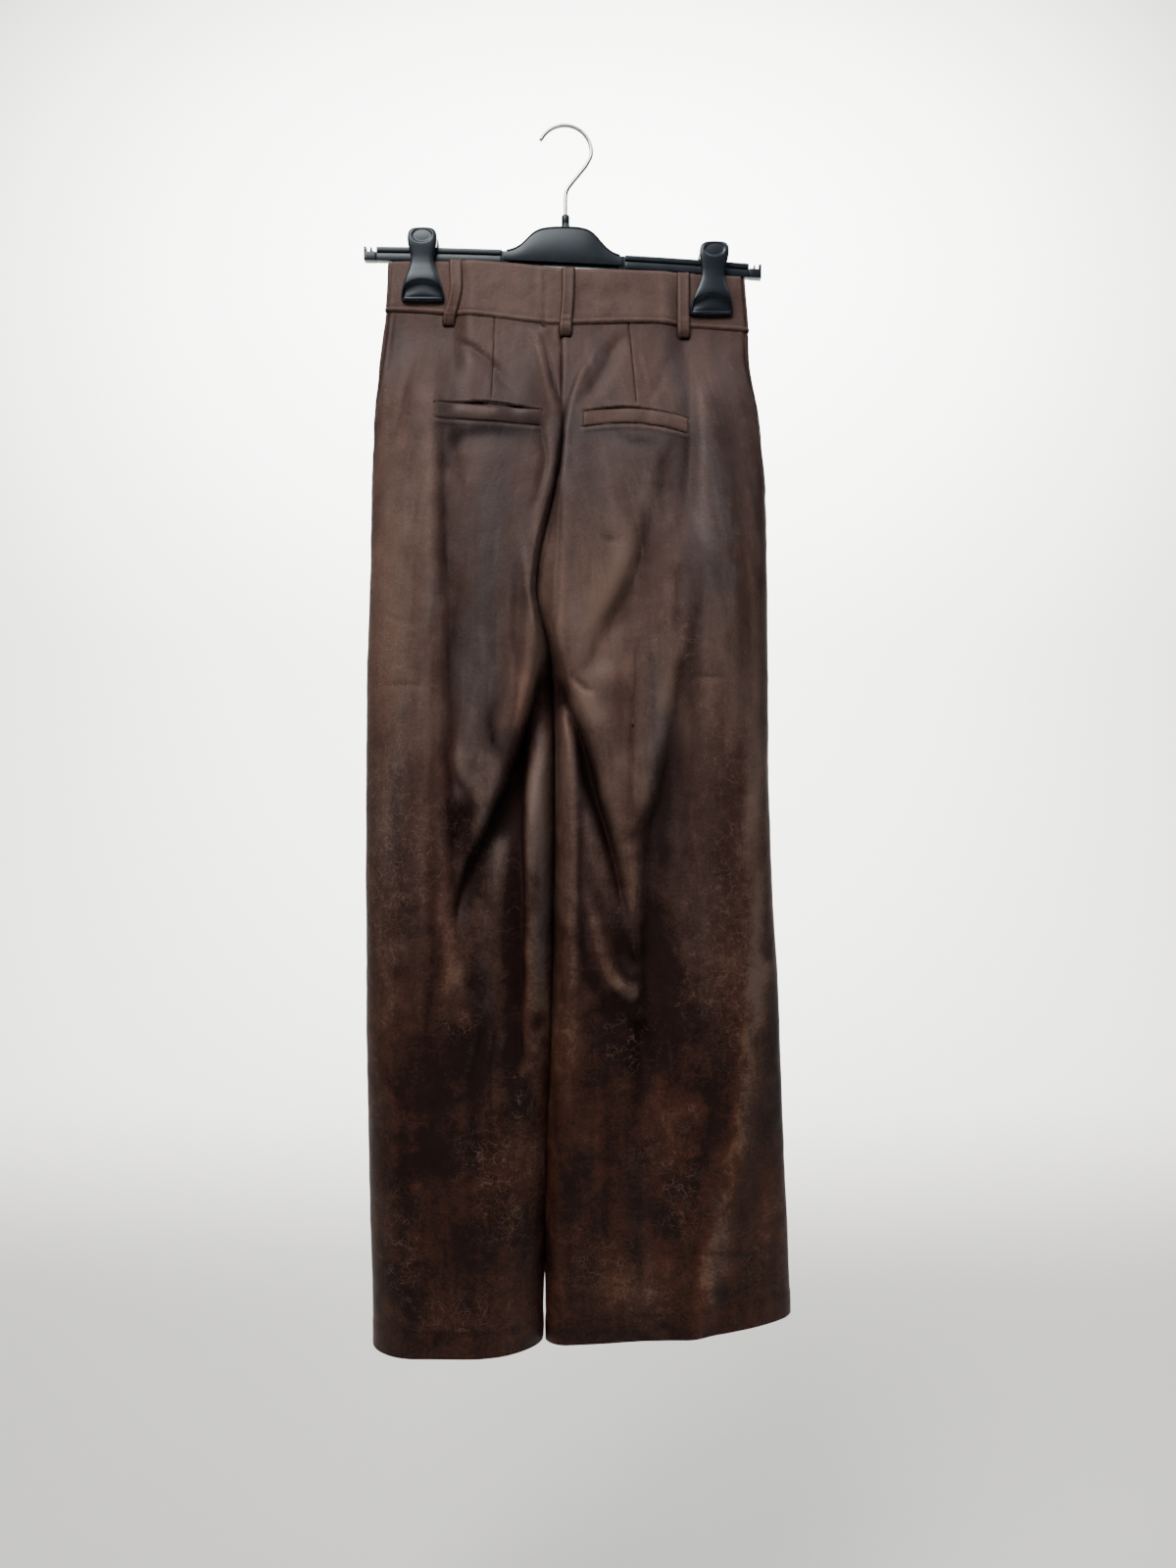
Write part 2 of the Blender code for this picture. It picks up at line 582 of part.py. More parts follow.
def add_front_pocket_edges():
    for half in (-1, 1):
        side = side_name(half)
        points = []
        for down in np.linspace(0, 1, POCKET_EDGE_ROWS):
            drop = POCKET_TOP_DROP + (POCKET_FOOT_DROP - POCKET_TOP_DROP) * down
            nearest = POCKET_TOP_FROM_SEAM + (POCKET_FOOT_FROM_SEAM - POCKET_TOP_FROM_SEAM) * down
            x, y, facing = section(half, drop)
            distance = paced(x, y)[0]
            seam = distance[np.argmax(half * x)] - read(SIDE_SEAM, "shift", drop)
            y = shaped(x, y, facing, drop)
            from_seam = seam + nearest + np.linspace(0, POCKET_EDGE_WIDTH, POCKET_EDGE_COLUMNS)
            before, after = from_seam - 1.0, from_seam + 1.0
            run_x = np.interp(after, distance, x) - np.interp(before, distance, x)
            run_y = np.interp(after, distance, y) - np.interp(before, distance, y)
            run = np.hypot(run_x, run_y)
            lift = LAY_GAP + POCKET_EDGE_EXTRA + POCKET_EDGE_WALL
            points.append(np.stack([
                np.interp(from_seam, distance, x) + half * lift * run_y / run,
                np.interp(from_seam, distance, y) - half * lift * run_x / run,
                np.full(from_seam.shape, -drop)], axis=1))
        add_cloth("front_pocket_edge_" + side, np.array(points), FORWARD, POCKET_EDGE_WALL, LEATHER_TRIM)


# Fly: a flap on the front that covers the zip and rounds in at its foot
FLY_WIDTH, FLY_TOP_DROP, FLY_FOOT_DROP, FLY_WALL = 34.0, 198.5, 352.0, 1.3
FLY_TURN, FLY_TURN_REACH = 0.72, 0.30     # shares of its height where the edge starts to round in


def add_fly():
    tree = surface_tree(["front_left", "front_right"])
    left_x = -2.0

    def right(down):
        return left_x + FLY_WIDTH * math.sqrt(1 - max(0.0, (down - FLY_TURN) / FLY_TURN_REACH) ** 2)

    grid = laid_grid(
        tree, lambda down: left_x, right, lambda across: FLY_TOP_DROP,
        lambda across: FLY_FOOT_DROP, 1, lambda down: LAY_GAP + FLY_WALL, 5, 20)
    add_cloth("fly_flap", grid, FORWARD, FLY_WALL, LEATHER_TRIM)


def bar_drop(x):
    """Height of the bar's middle line, which hangs a little lower on the right."""
    share = (x - BAR_LEFT[0]) / (BAR_RIGHT[0] - BAR_LEFT[0])
    return BAR_LEFT[1] + (BAR_RIGHT[1] - BAR_LEFT[1]) * share - BAR_BOW * 4 * share * (1 - share)


def notch(end_x, inward):
    """The open notch in the bar's top edge near an end, from the end inwards."""
    half = BAR_HEIGHT / 2
    first = end_x + inward * NOTCH_FROM_END
    second = first + inward * NOTCH_WIDTH
    return [(end_x, half), (first, half), (first, half - NOTCH_DEPTH),
            (second, half - NOTCH_DEPTH), (second, half)]


def body_outline():
    """The hump in the middle of the bar, with curved shoulders, from left to right."""
    points = []
    shoulder = BODY_FOOT_HALF - BODY_TOP_HALF
    for step in range(9):
        t = step / 8
        x = BODY_MIDDLE - BODY_FOOT_HALF + shoulder * (t ** 1.15)
        foot = bar_drop(x) - BAR_HEIGHT / 2
        points.append((x, foot + (BODY_TOP_DROP - foot) * float(ease(t))))
    mirrored = []
    for x, drop in points[::-1]:
        other = 2 * BODY_MIDDLE - x
        rise = (bar_drop(x) - BAR_HEIGHT / 2 - drop) / (bar_drop(x) - BAR_HEIGHT / 2 - BODY_TOP_DROP)
        foot = bar_drop(other) - BAR_HEIGHT / 2
        mirrored.append((other, foot + (BODY_TOP_DROP - foot) * rise))
    return points + mirrored


def extruded(name, outline, depth, bevel):
    """A flat outline in the XZ plane, given depth along Y, as a mesh with rounded edges."""
    curve = bpy.data.curves.new(name, "CURVE")
    curve.dimensions = "2D"
    curve.fill_mode = "BOTH"
    curve.extrude = depth / 2 * MM
    spline = curve.splines.new("POLY")
    spline.points.add(len(outline) - 1)
    for point, (x, drop) in zip(spline.points, outline):
        point.co = (x * MM, -drop * MM, 0, 1)
    spline.use_cyclic_u = True
    holder = bpy.data.objects.new(name + "_outline", curve)
    parts.objects.link(holder)
    holder.rotation_euler = (math.pi / 2, 0, 0)
    return made_mesh(name, holder, bevel)


def made_mesh(name, holder, bevel=0.0):
    """Turn a curve object into a closed mesh object and remove the curve."""
    bpy.context.view_layer.update()
    graph = bpy.context.evaluated_depsgraph_get()
    mesh = bpy.data.meshes.new_from_object(holder.evaluated_get(graph))
    mesh.transform(holder.matrix_world)
    work = bmesh.new()
    work.from_mesh(mesh)
    bmesh.ops.remove_doubles(work, verts=work.verts, dist=0.00001)
    bmesh.ops.recalc_face_normals(work, faces=work.faces)
    if bevel:
        bmesh.ops.dissolve_limit(work, angle_limit=0.01, verts=work.verts, edges=work.edges)
    work.to_mesh(mesh)
    work.free()
    mesh.name = name
    bpy.data.objects.remove(holder)
    return mesh


def add_hanger_body():
    top = [(x, bar_drop(x) - up) for x, up in notch(BAR_LEFT[0], 1)]
    top += body_outline()
    top += [(x, bar_drop(x) - up) for x, up in reversed(notch(BAR_RIGHT[0], -1))]
    bottom = [(x, bar_drop(x) + BAR_HEIGHT / 2) for x in np.linspace(BAR_RIGHT[0], BAR_LEFT[0], 9)]
    mesh = extruded("hanger_body", top + bottom, BAR_DEPTH, BAR_EDGE)
    obj = add_object("hanger_body", mesh, HANGER_PLASTIC)
    edge = obj.modifiers.new("Rounded edges", "BEVEL")
    edge.width = BAR_EDGE * MM
    edge.segments = 1
    edge.limit_method = "ANGLE"
    edge.angle_limit = math.radians(50)


def hook_line():
    """The wire's middle line as (x, drop): up from the socket, out to the right, and over."""
    points = [(HOOK_X, SOCKET_TOP_DROP + 5), (HOOK_X, 76), (1.3, 68), (2.6, 61.5), (5.6, 56), (13.5, 46),
              (20.4, 37)]
    middle_x, middle_drop = 0.0, HOOK_RADIUS - WIRE / 2
    for step in range(19):
        angle = math.radians(-20 + 175 * step / 18)
        x = middle_x + HOOK_RADIUS * math.cos(angle)
        points.append((x, middle_drop - HOOK_RADIUS * math.sin(angle)))
    return points


def add_hook():
    curve = bpy.data.curves.new("hook_wire", "CURVE")
    curve.dimensions = "3D"
    curve.bevel_depth = WIRE / 2 * MM
    curve.bevel_resolution = 2
    curve.use_fill_caps = True
    spline = curve.splines.new("POLY")
    line = hook_line()
    spline.points.add(len(line) - 1)
    for point, (x, drop) in zip(spline.points, line):
        point.co = (x * MM, 0, -drop * MM, 1)
    holder = bpy.data.objects.new("hook_wire_line", curve)
    parts.objects.link(holder)
    add_object("hook_wire", made_mesh("hook_wire", holder), HOOK_STEEL)


def add_hook_socket():
    """The collar on the body that the wire turns in: a turned ring round the wire."""
    foot = BODY_TOP_DROP - 0.3
    inner = WIRE / 2 + 0.3
    floor = SOCKET_TOP_DROP + 6.0
    profile = [(SOCKET_RADIUS - 0.6, SOCKET_TOP_DROP), (SOCKET_RADIUS, SOCKET_TOP_DROP + 0.8),
               (SOCKET_RADIUS, foot), (0, foot), (0, floor), (inner, floor), (inner, SOCKET_TOP_DROP)]
    mesh = bpy.data.meshes.new("hook_socket")
    corners = [(radius * MM, 0, -drop * MM) for radius, drop in profile]
    edges = [(i, (i + 1) % len(profile)) for i in range(len(profile)) if i != 3]
    mesh.from_pydata(corners, edges, [])
    obj = add_object("hook_socket", mesh, HANGER_PLASTIC)
    obj.location = (HOOK_X * MM, 0, 0)
    turn = obj.modifiers.new("Turned", "SCREW")
    turn.steps = 16
    turn.render_steps = 16
    turn.use_merge_vertices = True
    turn.merge_threshold = 0.00001


# Clip jaws: rows down the jaw as (drop below its top, half width, face, back), y from the bar's middle
Jaw = namedtuple("Jaw", "down half_width face back")
JAW = (
    Jaw(0.0, 7.5, 10.5, 8.0), Jaw(1.5, 10.6, 12.0, 7.4), Jaw(6.0, 13.6, 13.3, 7.0),
    Jaw(12.0, 14.2, 13.8, 6.8), Jaw(20.0, 13.0, 13.6, 6.6), Jaw(28.0, 10.8, 12.8, 6.4),
    Jaw(36.0, 12.0, 12.6, 6.6), Jaw(46.0, 15.6, 12.8, 6.9), Jaw(57.0, 19.0, 12.2, 6.2),
    Jaw(64.0, 20.2, 11.4, 3.9), Jaw(69.5, 20.4, 10.2, 3.9), Jaw(71.0, 19.6, 8.6, 4.4),
)
CLIP_TOPS = (101.5, 114.8)       # drop of each clip's top
CLIP_LEANS = (0.0, -2.6)         # degrees
JAW_CORNER = 1.8


def jaw_ring(row, facing):
    """A rounded rectangle in plan, as (x, y)."""
    near = row.back
    corner = min(JAW_CORNER, 0.45 * (row.face - row.back))
    ring = []
    for turn in range(4):
        for part in (0, 1):
            angle = math.radians(90 * turn + 90 * part)
            middle_x = (row.half_width - corner) * (1 if turn in (0, 3) else -1)
            middle_y = row.face - corner if turn in (0, 1) else near + corner
            ring.append((middle_x + corner * math.cos(angle),
                         facing * (middle_y + corner * math.sin(angle))))
    return ring


def add_clips():
    for name, clip_x, top, lean in zip(("left", "right"), CLIP_X, CLIP_TOPS, CLIP_LEANS):
        tilt = math.tan(math.radians(lean))
        for jaw_name, facing in (("front", -1), ("rear", 1)):
            work = bmesh.new()
            rings = []
            for row in JAW:
                middle = clip_x - tilt * (45 - row.down)
                ring = [work.verts.new(((middle + x) * MM, y * MM, -(top + row.down) * MM))
                        for x, y in jaw_ring(row, facing)]
                rings.append(ring)
            for upper, lower in zip(rings, rings[1:]):
                for i in range(8):
                    work.faces.new((upper[i], upper[(i + 1) % 8], lower[(i + 1) % 8], lower[i]))
            work.faces.new(rings[0])
            work.faces.new(rings[-1])
            bmesh.ops.recalc_face_normals(work, faces=work.faces)
            label = "clip_%s_%s_jaw" % (name, jaw_name)
            mesh = bpy.data.meshes.new(label)
            work.to_mesh(mesh)
            work.free()
            mesh.shade_smooth()
            mesh.set_sharp_from_angle(angle=math.radians(35))
            add_object(label, mesh, HANGER_PLASTIC)
        add_clip_bridge("clip_%s_bridge" % name, clip_x - tilt * 30, top)


BRIDGE_WIDTH, BRIDGE_HEIGHT, BRIDGE_DEPTH = 11.0, 5.0, 12.4


def add_clip_bridge(name, x, top):
    """The saddle over the bar that joins a clip's two jaws."""
    drop = bar_drop(x) - BAR_HEIGHT / 2 - 0.7 - BRIDGE_HEIGHT / 2
    bpy.ops.mesh.primitive_cube_add(size=1, location=(x * MM, 0, -drop * MM))
    obj = bpy.context.object
    obj.name = name
    obj.data.name = name
    obj.scale = (BRIDGE_WIDTH * MM, BRIDGE_DEPTH * MM, BRIDGE_HEIGHT * MM)
    bpy.ops.object.transform_apply(location=False, rotation=False, scale=True)
    for collection in list(obj.users_collection):
        collection.objects.unlink(obj)
    parts.objects.link(obj)
    obj.data.materials.append(material_for(name, HANGER_PLASTIC))
    edge = obj.modifiers.new("Rounded edges", "BEVEL")
    edge.width = 0.8 * MM
    edge.segments = 1


for old in list(bpy.data.objects):
    bpy.data.objects.remove(old)
parts = bpy.data.collections.new("faux_leather_trousers")
bpy.context.scene.collection.children.link(parts)

add_leg_panels()
add_waistband()
add_pocket_welts()
add_belt_loops()
add_front_pocket_edges()
add_fly()
add_hanger_body()
add_hook()
add_hook_socket()
add_clips()
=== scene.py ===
import math
import bpy
import bmesh
import numpy as np
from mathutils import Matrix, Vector


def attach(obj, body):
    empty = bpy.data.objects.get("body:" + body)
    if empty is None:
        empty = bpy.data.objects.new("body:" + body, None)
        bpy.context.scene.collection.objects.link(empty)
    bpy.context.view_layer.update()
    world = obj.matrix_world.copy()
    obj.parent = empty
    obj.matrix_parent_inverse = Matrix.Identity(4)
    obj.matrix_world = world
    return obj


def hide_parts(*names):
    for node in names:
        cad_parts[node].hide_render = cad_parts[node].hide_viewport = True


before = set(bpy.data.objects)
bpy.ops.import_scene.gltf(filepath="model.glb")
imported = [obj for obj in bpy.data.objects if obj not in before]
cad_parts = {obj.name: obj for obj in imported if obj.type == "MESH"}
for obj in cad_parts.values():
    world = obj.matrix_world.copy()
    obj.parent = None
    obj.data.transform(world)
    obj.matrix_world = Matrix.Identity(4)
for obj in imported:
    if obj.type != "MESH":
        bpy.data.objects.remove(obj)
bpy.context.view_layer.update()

# Faux leather trousers on a clip hanger, seen from the back.
# Sizes are in millimetres; "drop" is the distance below the crest of the hook.
mm = 0.001
sides = ((-1, "left"), (1, "right"))


def table(columns, rows):
    return dict(zip(columns.split(), np.array(rows, float).T))


def smoothRead(places, values, where):
    places, values = np.asarray(places, float), np.asarray(values, float)
    where = np.clip(np.asarray(where, float), places[0], places[-1])
    steps = np.diff(values) / np.diff(places)
    slopes = np.zeros_like(values)
    sameWay = steps[:-1] * steps[1:] > 0
    slopes[1:-1] = np.where(sameWay, 0.5 * (steps[:-1] + steps[1:]), 0.0)
    limit = 3.0 * np.minimum(np.abs(steps[:-1]), np.abs(steps[1:]))
    slopes[1:-1] = np.clip(slopes[1:-1], -limit, limit)
    row = np.clip(np.searchsorted(places, where, side="right") - 1, 0, len(places) - 2)
    span = places[row + 1] - places[row]
    t = (where - places[row]) / span
    start = values[row] * (2 * t**3 - 3 * t**2 + 1) + slopes[row] * span * (t**3 - 2 * t**2 + t)
    end = values[row + 1] * (3 * t**2 - 2 * t**3) + slopes[row + 1] * span * (t**3 - t**2)
    return start + end


def read(rows, column, where):
    return smoothRead(next(iter(rows.values())), rows[column], where)


def ease(t):
    t = np.clip(t, 0.0, 1.0)
    return t * t * (3 - 2 * t)


def hump(away, width):
    return np.exp(-(away / width) ** 2)


def waver(u, v, size, seed):
    # soft random waves of about 1, the same on every run
    lattice = np.random.default_rng(seed).uniform(-1, 1, (64, 64))
    a, b = np.asarray(u) / size, np.asarray(v) / size
    i, j = np.floor(a).astype(int), np.floor(b).astype(int)
    s, t = ease(a - i), ease(b - j)
    i, j = i % 64, j % 64
    k, l = (i + 1) % 64, (j + 1) % 64
    top = lattice[i, j] * (1 - s) + lattice[k, j] * s
    low = lattice[i, l] * (1 - s) + lattice[k, l] * s
    return top * (1 - t) + low * t


def addObject(name, data):
    made = bpy.data.objects.new(name, data)
    bpy.context.scene.collection.objects.link(made)
    return made


# The hanging form of the cloth
form = {
    "bandDrop": 190.0, "hemDrop": 1170.0, "crotchDrop": 505.0, "seamGap": 0.3,
    "clipX": (-136.5, 142.5), "pinchHalf": 27.0, "pinchFade": 22.0, "pinchDepth": 3.6,
    "pinchFull": 188.0, "pinchEnd": 275.0, "frontRound": 64.0, "turnPace": 14.0,
    "outline": table("drop left leftY right rightY", [
        (130, -169.0, 0, 172.5, 0), (190, -171.5, 0, 176.5, 0), (215, -174.5, -1, 176.8, 0),
        (240, -177.5, -2, 180.5, 0), (280, -181.0, -2, 187.3, 0), (330, -183.8, -3, 192.5, 1),
        (400, -185.4, -3, 195.0, 2), (500, -188.2, -4, 196.4, 4), (640, -189.7, -6, 197.8, 7),
        (740, -189.4, -7, 201.2, 9), (830, -189.0, -7, 207.2, 12), (925, -187.8, -8, 210.6, 14),
        (1020, -185.8, -8, 214.8, 18), (1110, -183.0, -8, 219.3, 21), (1170, -182.4, -9, 221.5, 23)]),
    "depth": table("drop backLeft frontLeft roundLeft backRight frontRight roundRight", [
        (130, -10, 10, 10, -10, 10, 10), (190, -11, 11, 14, -11, 11, 14), (250, -20, 17, 40, -21, 17, 42),
        (300, -29, 23, 55, -29, 23, 62), (400, -39, 32, 60, -39, 32, 72), (500, -42, 38, 60, -42, 36, 80),
        (700, -44, 46, 52, -41, 41, 95), (900, -46, 52, 46, -35, 46, 120), (1170, -48, 58, 46, -26, 52, 150)]),
    "middle": table("drop x gap backY frontY roundLeft roundRight", [
        (130, -1.0, 0.15, -10, 10, 6, 6), (190, -2.6, 0.15, -11, 11, 6, 6), (240, -2.6, 0.15, -17, 15, 5, 6),
        (275, -2.6, 0.15, -20, 19, 4, 4), (295, -0.8, 0.15, -18, 20, 5, 3), (315, -1.4, 0.15, -16, 20, 5.5, 3),
        (335, -4.0, 0.15, -16, 20, 5.5, 4), (355, -8.8, 0.15, -18, 20, 5, 7), (375, -14.0, 0.15, -20, 20, 5, 13),
        (411, -22.5, 0.15, -22, 18, 5, 21), (452, -26.5, 0.15, -19, 13, 6, 24),
        (475, -22.5, 0.15, -17, 9, 8, 20), (505, -14.5, 0.15, -2, 3, 12, 16), (540, -11.5, 0.2, 4, 4, 20, 18),
        (600, -9.3, 0.2, 2, 2, 22, 20), (700, -9.6, 0.2, 0, 0, 27, 22), (820, -11.2, 0.2, -2, -2, 36, 24),
        (960, -15.8, 0.2, -4, -4, 58, 24), (1060, -18.2, 0.4, -6, -6, 69, 22), (1110, -18.8, 1.8, -7, -7, 72, 21),
        (1170, -19.2, 2.8, -8, -8, 75, 20)]),
    "levels": table("x bandTop bandSeam hem", [
        (-185, 133.0, 180.0, 1170.5), (-138, 132.0, 181.0, 1170.5), (-70, 135.0, 188.0, 1170.0),
        (-2, 141.8, 195.0, 1168.0), (72, 143.7, 193.5, 1165.5), (143, 145.8, 197.0, 1161.0),
        (222, 149.0, 202.0, 1156.5)]),
    "sideSeam": table("drop shift", [
        (130, 7), (190, 7), (250, 7), (315, 3), (400, -5), (700, -12), (1170, -14)]),
}

# Folds: name, reach to the left and right of the line, then (drop, x, rise) down the line; a last number
# above 2 makes a flat top with steep sides
backFolds = [
    ("left hollow at the side", 12, 12, [(195, -158, 0), (215, -159, -2), (300, -164, -3), (400, -169, -3),
        (470, -172, 0)]),
    ("left ridge under the clip", 17, 8, [(200, -127, 1), (300, -125, 3), (400, -125, 4), (600, -128, 4.5),
        (760, -131, 4), (960, -136, 0)]),
    ("left outer trough", 7, 24, [(275, -118, 0), (320, -113, -2.5), (406, -109, -5), (470, -106, -5.5),
        (520, -105, -6), (580, -103, -7.5), (640, -104, -7), (735, -101, -8.5), (800, -97, -6), (930, -88, 0)]),
    ("left seat", 34, 34, [(240, -70, 0), (330, -68, 3), (450, -70, 4), (600, -78, 4), (690, -86, 5), (735, -90, 0)]),
    ("left crest by the middle", 20, 4, [(200, -19, 1), (250, -12, 2), (285, -9, 2.5), (325, -12, 2), (370, -19, 2),
        (405, -27, 3), (445, -31, 4), (475, -29, 4.5), (530, -33, 5), (600, -49, 5), (646, -67, 4), (700, -88, 0)]),
    ("left crease by the crest", 4, 6, [(424, -38, 0), (470, -38, -2.6), (520, -40, -3), (580, -46, -2),
        (630, -52, 0)]),
    ("left hollow under the seat", 4, 26, [(512, -17, 0), (545, -25, -16), (600, -40, -26), (646, -57, -27),
        (682, -73, -23), (714, -88, -16), (745, -98, -8), (785, -104, 0)]),
    ("left inner strip", 15, 13, [(545, -19, 0), (600, -20, 5), (700, -21, 8), (800, -22, 7), (880, -24, 4),
        (960, -25, 0)], 8),
    ("left trough by the strip", 17, 4, [(570, -36, 0), (620, -39, -6), (680, -40, -11), (740, -38, -12),
        (820, -37, -11), (894, -42, -6), (960, -50, 0)]),
    ("left knee ridge", 11, 8, [(730, -112, 0), (782, -103, 4), (820, -97, 7), (855, -91, 6), (905, -86, 0)]),
    ("left shin trough", 6, 12, [(825, -64, 0), (872, -78, -4), (915, -83, -5), (1000, -86, -2), (1080, -88, 0)]),
    ("left lower ridge", 26, 30, [(960, -62, 0), (1050, -62, 3), (1120, -60, 3), (1171, -58, 2)]),
    ("right crease to the pocket", 8, 9, [(200, 54, 0), (225, 45, -3), (258, 29, -3), (285, 16, 0)]),
    ("left crease to the pocket", 9, 8, [(202, -108, 0), (218, -90, -2.4), (236, -70, -2.6), (256, -56, -1.6),
        (270, -48, 0)]),
    ("right crest by the middle", 5, 26, [(205, 28, 0), (250, 16, 3), (290, 6, 3.5), (333, 1, 3.5), (375, 0, 3.5),
        (430, -3, 3.5), (492, -5, 5), (530, 5, 6), (553, 14, 6), (588, 29, 7), (625, 39, 8), (653, 46, 8),
        (695, 59, 7), (722, 66, 5), (760, 74, 0)]),
    ("right seat", 34, 30, [(240, 58, 0), (330, 55, 3), (420, 48, 4), (500, 40, 2), (560, 40, 0)]),
    ("right diagonal trough", 10, 36, [(290, 118, 0), (330, 104, -3), (375, 87, -6), (416, 76, -8), (459, 59, -9),
        (490, 43, -8), (516, 31, -5), (540, 22, 0)]),
    ("right trough under the loop", 8, 8, [(200, 118, -1), (241, 119, -3), (296, 120, -3), (369, 116, -2),
        (425, 108, 0)]),
    ("right ridge under the clip", 10, 14, [(200, 131, 1), (300, 133, 2.5), (400, 135, 3), (540, 136, 3),
        (650, 130, 0)]),
    ("right outer trough", 12, 10, [(240, 152, 0), (300, 158, -3), (420, 168, -4), (600, 172, -4), (700, 168, 0)]),
    ("right long trough", 9, 40, [(430, 134, 0), (480, 127, -4), (537, 113, -8), (602, 101, -11), (645, 91, -12),
        (690, 81, -12), (735, 78, -12), (800, 80, -12), (860, 77, -9), (920, 72, -4), (960, 70, 0)]),
    ("right hollow under the seat", 9, 6, [(532, -5, 0), (560, 4, -9), (590, 15, -18), (620, 23, -23), (650, 31, -24),
        (680, 40, -21), (715, 49, -16), (745, 55, -10), (780, 60, 0)]),
    ("right inner strip", 10, 9, [(560, 3, 0), (600, 5, 6), (700, 5, 8), (780, 5, 6), (860, 7, 0)], 4),
    ("right soft lower ridge", 15, 14, [(740, 190, 0), (820, 184, 3), (890, 177, 6), (960, 168, 7), (1040, 154, 7),
        (1120, 134, 6), (1171, 122, 4)]),
    ("right lower trough", 30, 26, [(860, 120, 0), (960, 112, -3), (1060, 84, -4), (1171, 70, -3)]),
]
frontFolds = [
    ("left front fold", 16, 14, [(230, -72, 0), (330, -76, 4), (480, -86, 6), (700, -94, 6), (950, -98, 5),
        (1171, -100, 4)]),
    ("left front trough", 18, 18, [(320, -120, 0), (430, -122, -6), (600, -126, -8), (850, -130, -8),
        (1171, -132, -7)]),
    ("left inner tuck", 17, 17, [(430, -50, 0), (560, -54, -9), (720, -60, -16), (950, -64, -20), (1171, -66, -20)]),
    ("left crease from the crotch", 8, 12, [(350, -18, 0), (400, -34, -5), (450, -58, -6), (500, -86, -3),
        (530, -100, 0)]),
    ("right front fold", 18, 20, [(230, 74, 0), (330, 80, 4), (480, 92, 6), (700, 100, 6), (950, 108, 6),
        (1171, 112, 5)]),
    ("right front trough", 20, 18, [(330, 136, 0), (450, 142, -5), (650, 150, -6), (900, 160, -6), (1171, 168, -5)]),
    ("right inner trough", 16, 16, [(480, 36, 0), (600, 42, -5), (800, 48, -7), (1000, 50, -6), (1171, 52, -5)]),
    ("right crease from the crotch", 12, 8, [(350, 10, 0), (400, 26, -5), (450, 50, -6), (500, 78, -3),
        (530, 92, 0)]),
]
# Smaller creases, in the same form
backCreases = [
    ("left thin ridge by the trough", 2.6, 3.6, [(250, -121, 0), (330, -120, 0.4), (480, -117, 0.5), (620, -117, 0.5),
        (720, -116, 0.3), (790, -112, 0)]),
    ("left crease beside the crest", 3, 4, [(420, -44, 0), (460, -45, -1.6), (500, -46, -1.8), (540, -42, 0)]),
    ("left red hollow", 6, 7, [(548, -62, 0), (585, -66, -1.9), (612, -62, -2.1), (645, -53, 0)]),
    ("left drag by the side", 6, 6, [(640, -158, 0), (690, -155, -1.4), (740, -150, -1.2), (780, -146, 0)]),
    ("left lower drag", 7, 6, [(930, -150, 0), (990, -145, -1.2), (1050, -146, -1.4), (1120, -150, 0)]),
    ("left inner lower drag", 6, 6, [(960, -36, 0), (1010, -34, -1.2), (1080, -38, -1.4), (1130, -42, 0)]),
    ("left drag under the knee", 4, 3, [(850, -58, 0), (880, -64, -2.0), (920, -68, -1.8), (970, -66, 0)]),
    ("left pull from the pocket", 6, 5, [(294, -112, 0), (320, -104, -1.0), (352, -98, -0.8), (390, -94, 0)]),
    ("right pull from the pocket", 5, 6, [(304, 106, 0), (326, 96, -1.2), (352, 86, -1.0), (385, 76, 0)]),
    ("right red line", 4, 5, [(420, 110, 0), (450, 108, -1.6), (480, 107, -1.4), (520, 106, 0)]),
    ("right faint line", 4, 5, [(490, 70, 0), (525, 68, -1.8), (600, 64, -2.2), (650, 62, -1.2), (672, 60, 0)]),
    ("right side drag", 6, 6, [(640, 160, 0), (690, 156, -1.4), (760, 158, -1.6), (830, 166, 0)]),
    ("right shin drag", 7, 7, [(900, 40, 0), (960, 44, -1.4), (1030, 40, -1.4), (1100, 34, 0)]),
    ("right outer shin drag", 7, 7, [(880, 150, 0), (950, 140, -1.6), (1020, 124, -1.8), (1090, 108, 0)]),
    ("right hip drag", 6, 5, [(215, 104, 0), (236, 98, -1.0), (262, 88, -0.8), (280, 78, 0)]),
    ("left hip drag", 5, 6, [(206, -138, 0), (232, -146, -1.2), (262, -152, -1.0), (300, -156, 0)]),
    ("left crease from the band", 4, 1.8, [(203, -19, 0), (217, -17, -1.7), (245, -11.3, -2.8), (272, -5, -2.6),
        (284, -3, 0)]),
    ("left ridge from the band", 5, 3, [(198, -27, 0), (212, -25, 1.4), (245, -18, 2.0), (275, -11, 1.6),
        (292, -8, 0)]),
    ("left crease by the pocket", 5, 4, [(282, -23, 0), (302, -21.4, -2.2), (330, -17, -2.6), (360, -22, -1.6),
        (392, -30, 0)]),
    ("right thin crest", 2.2, 3, [(212, 32, 0), (226, 29, 0.9), (244, 19, 1.1), (262, 10.5, 1.1), (290, 4.5, 0.9),
        (330, 2.8, 0.6), (360, 1, 0)]),
]
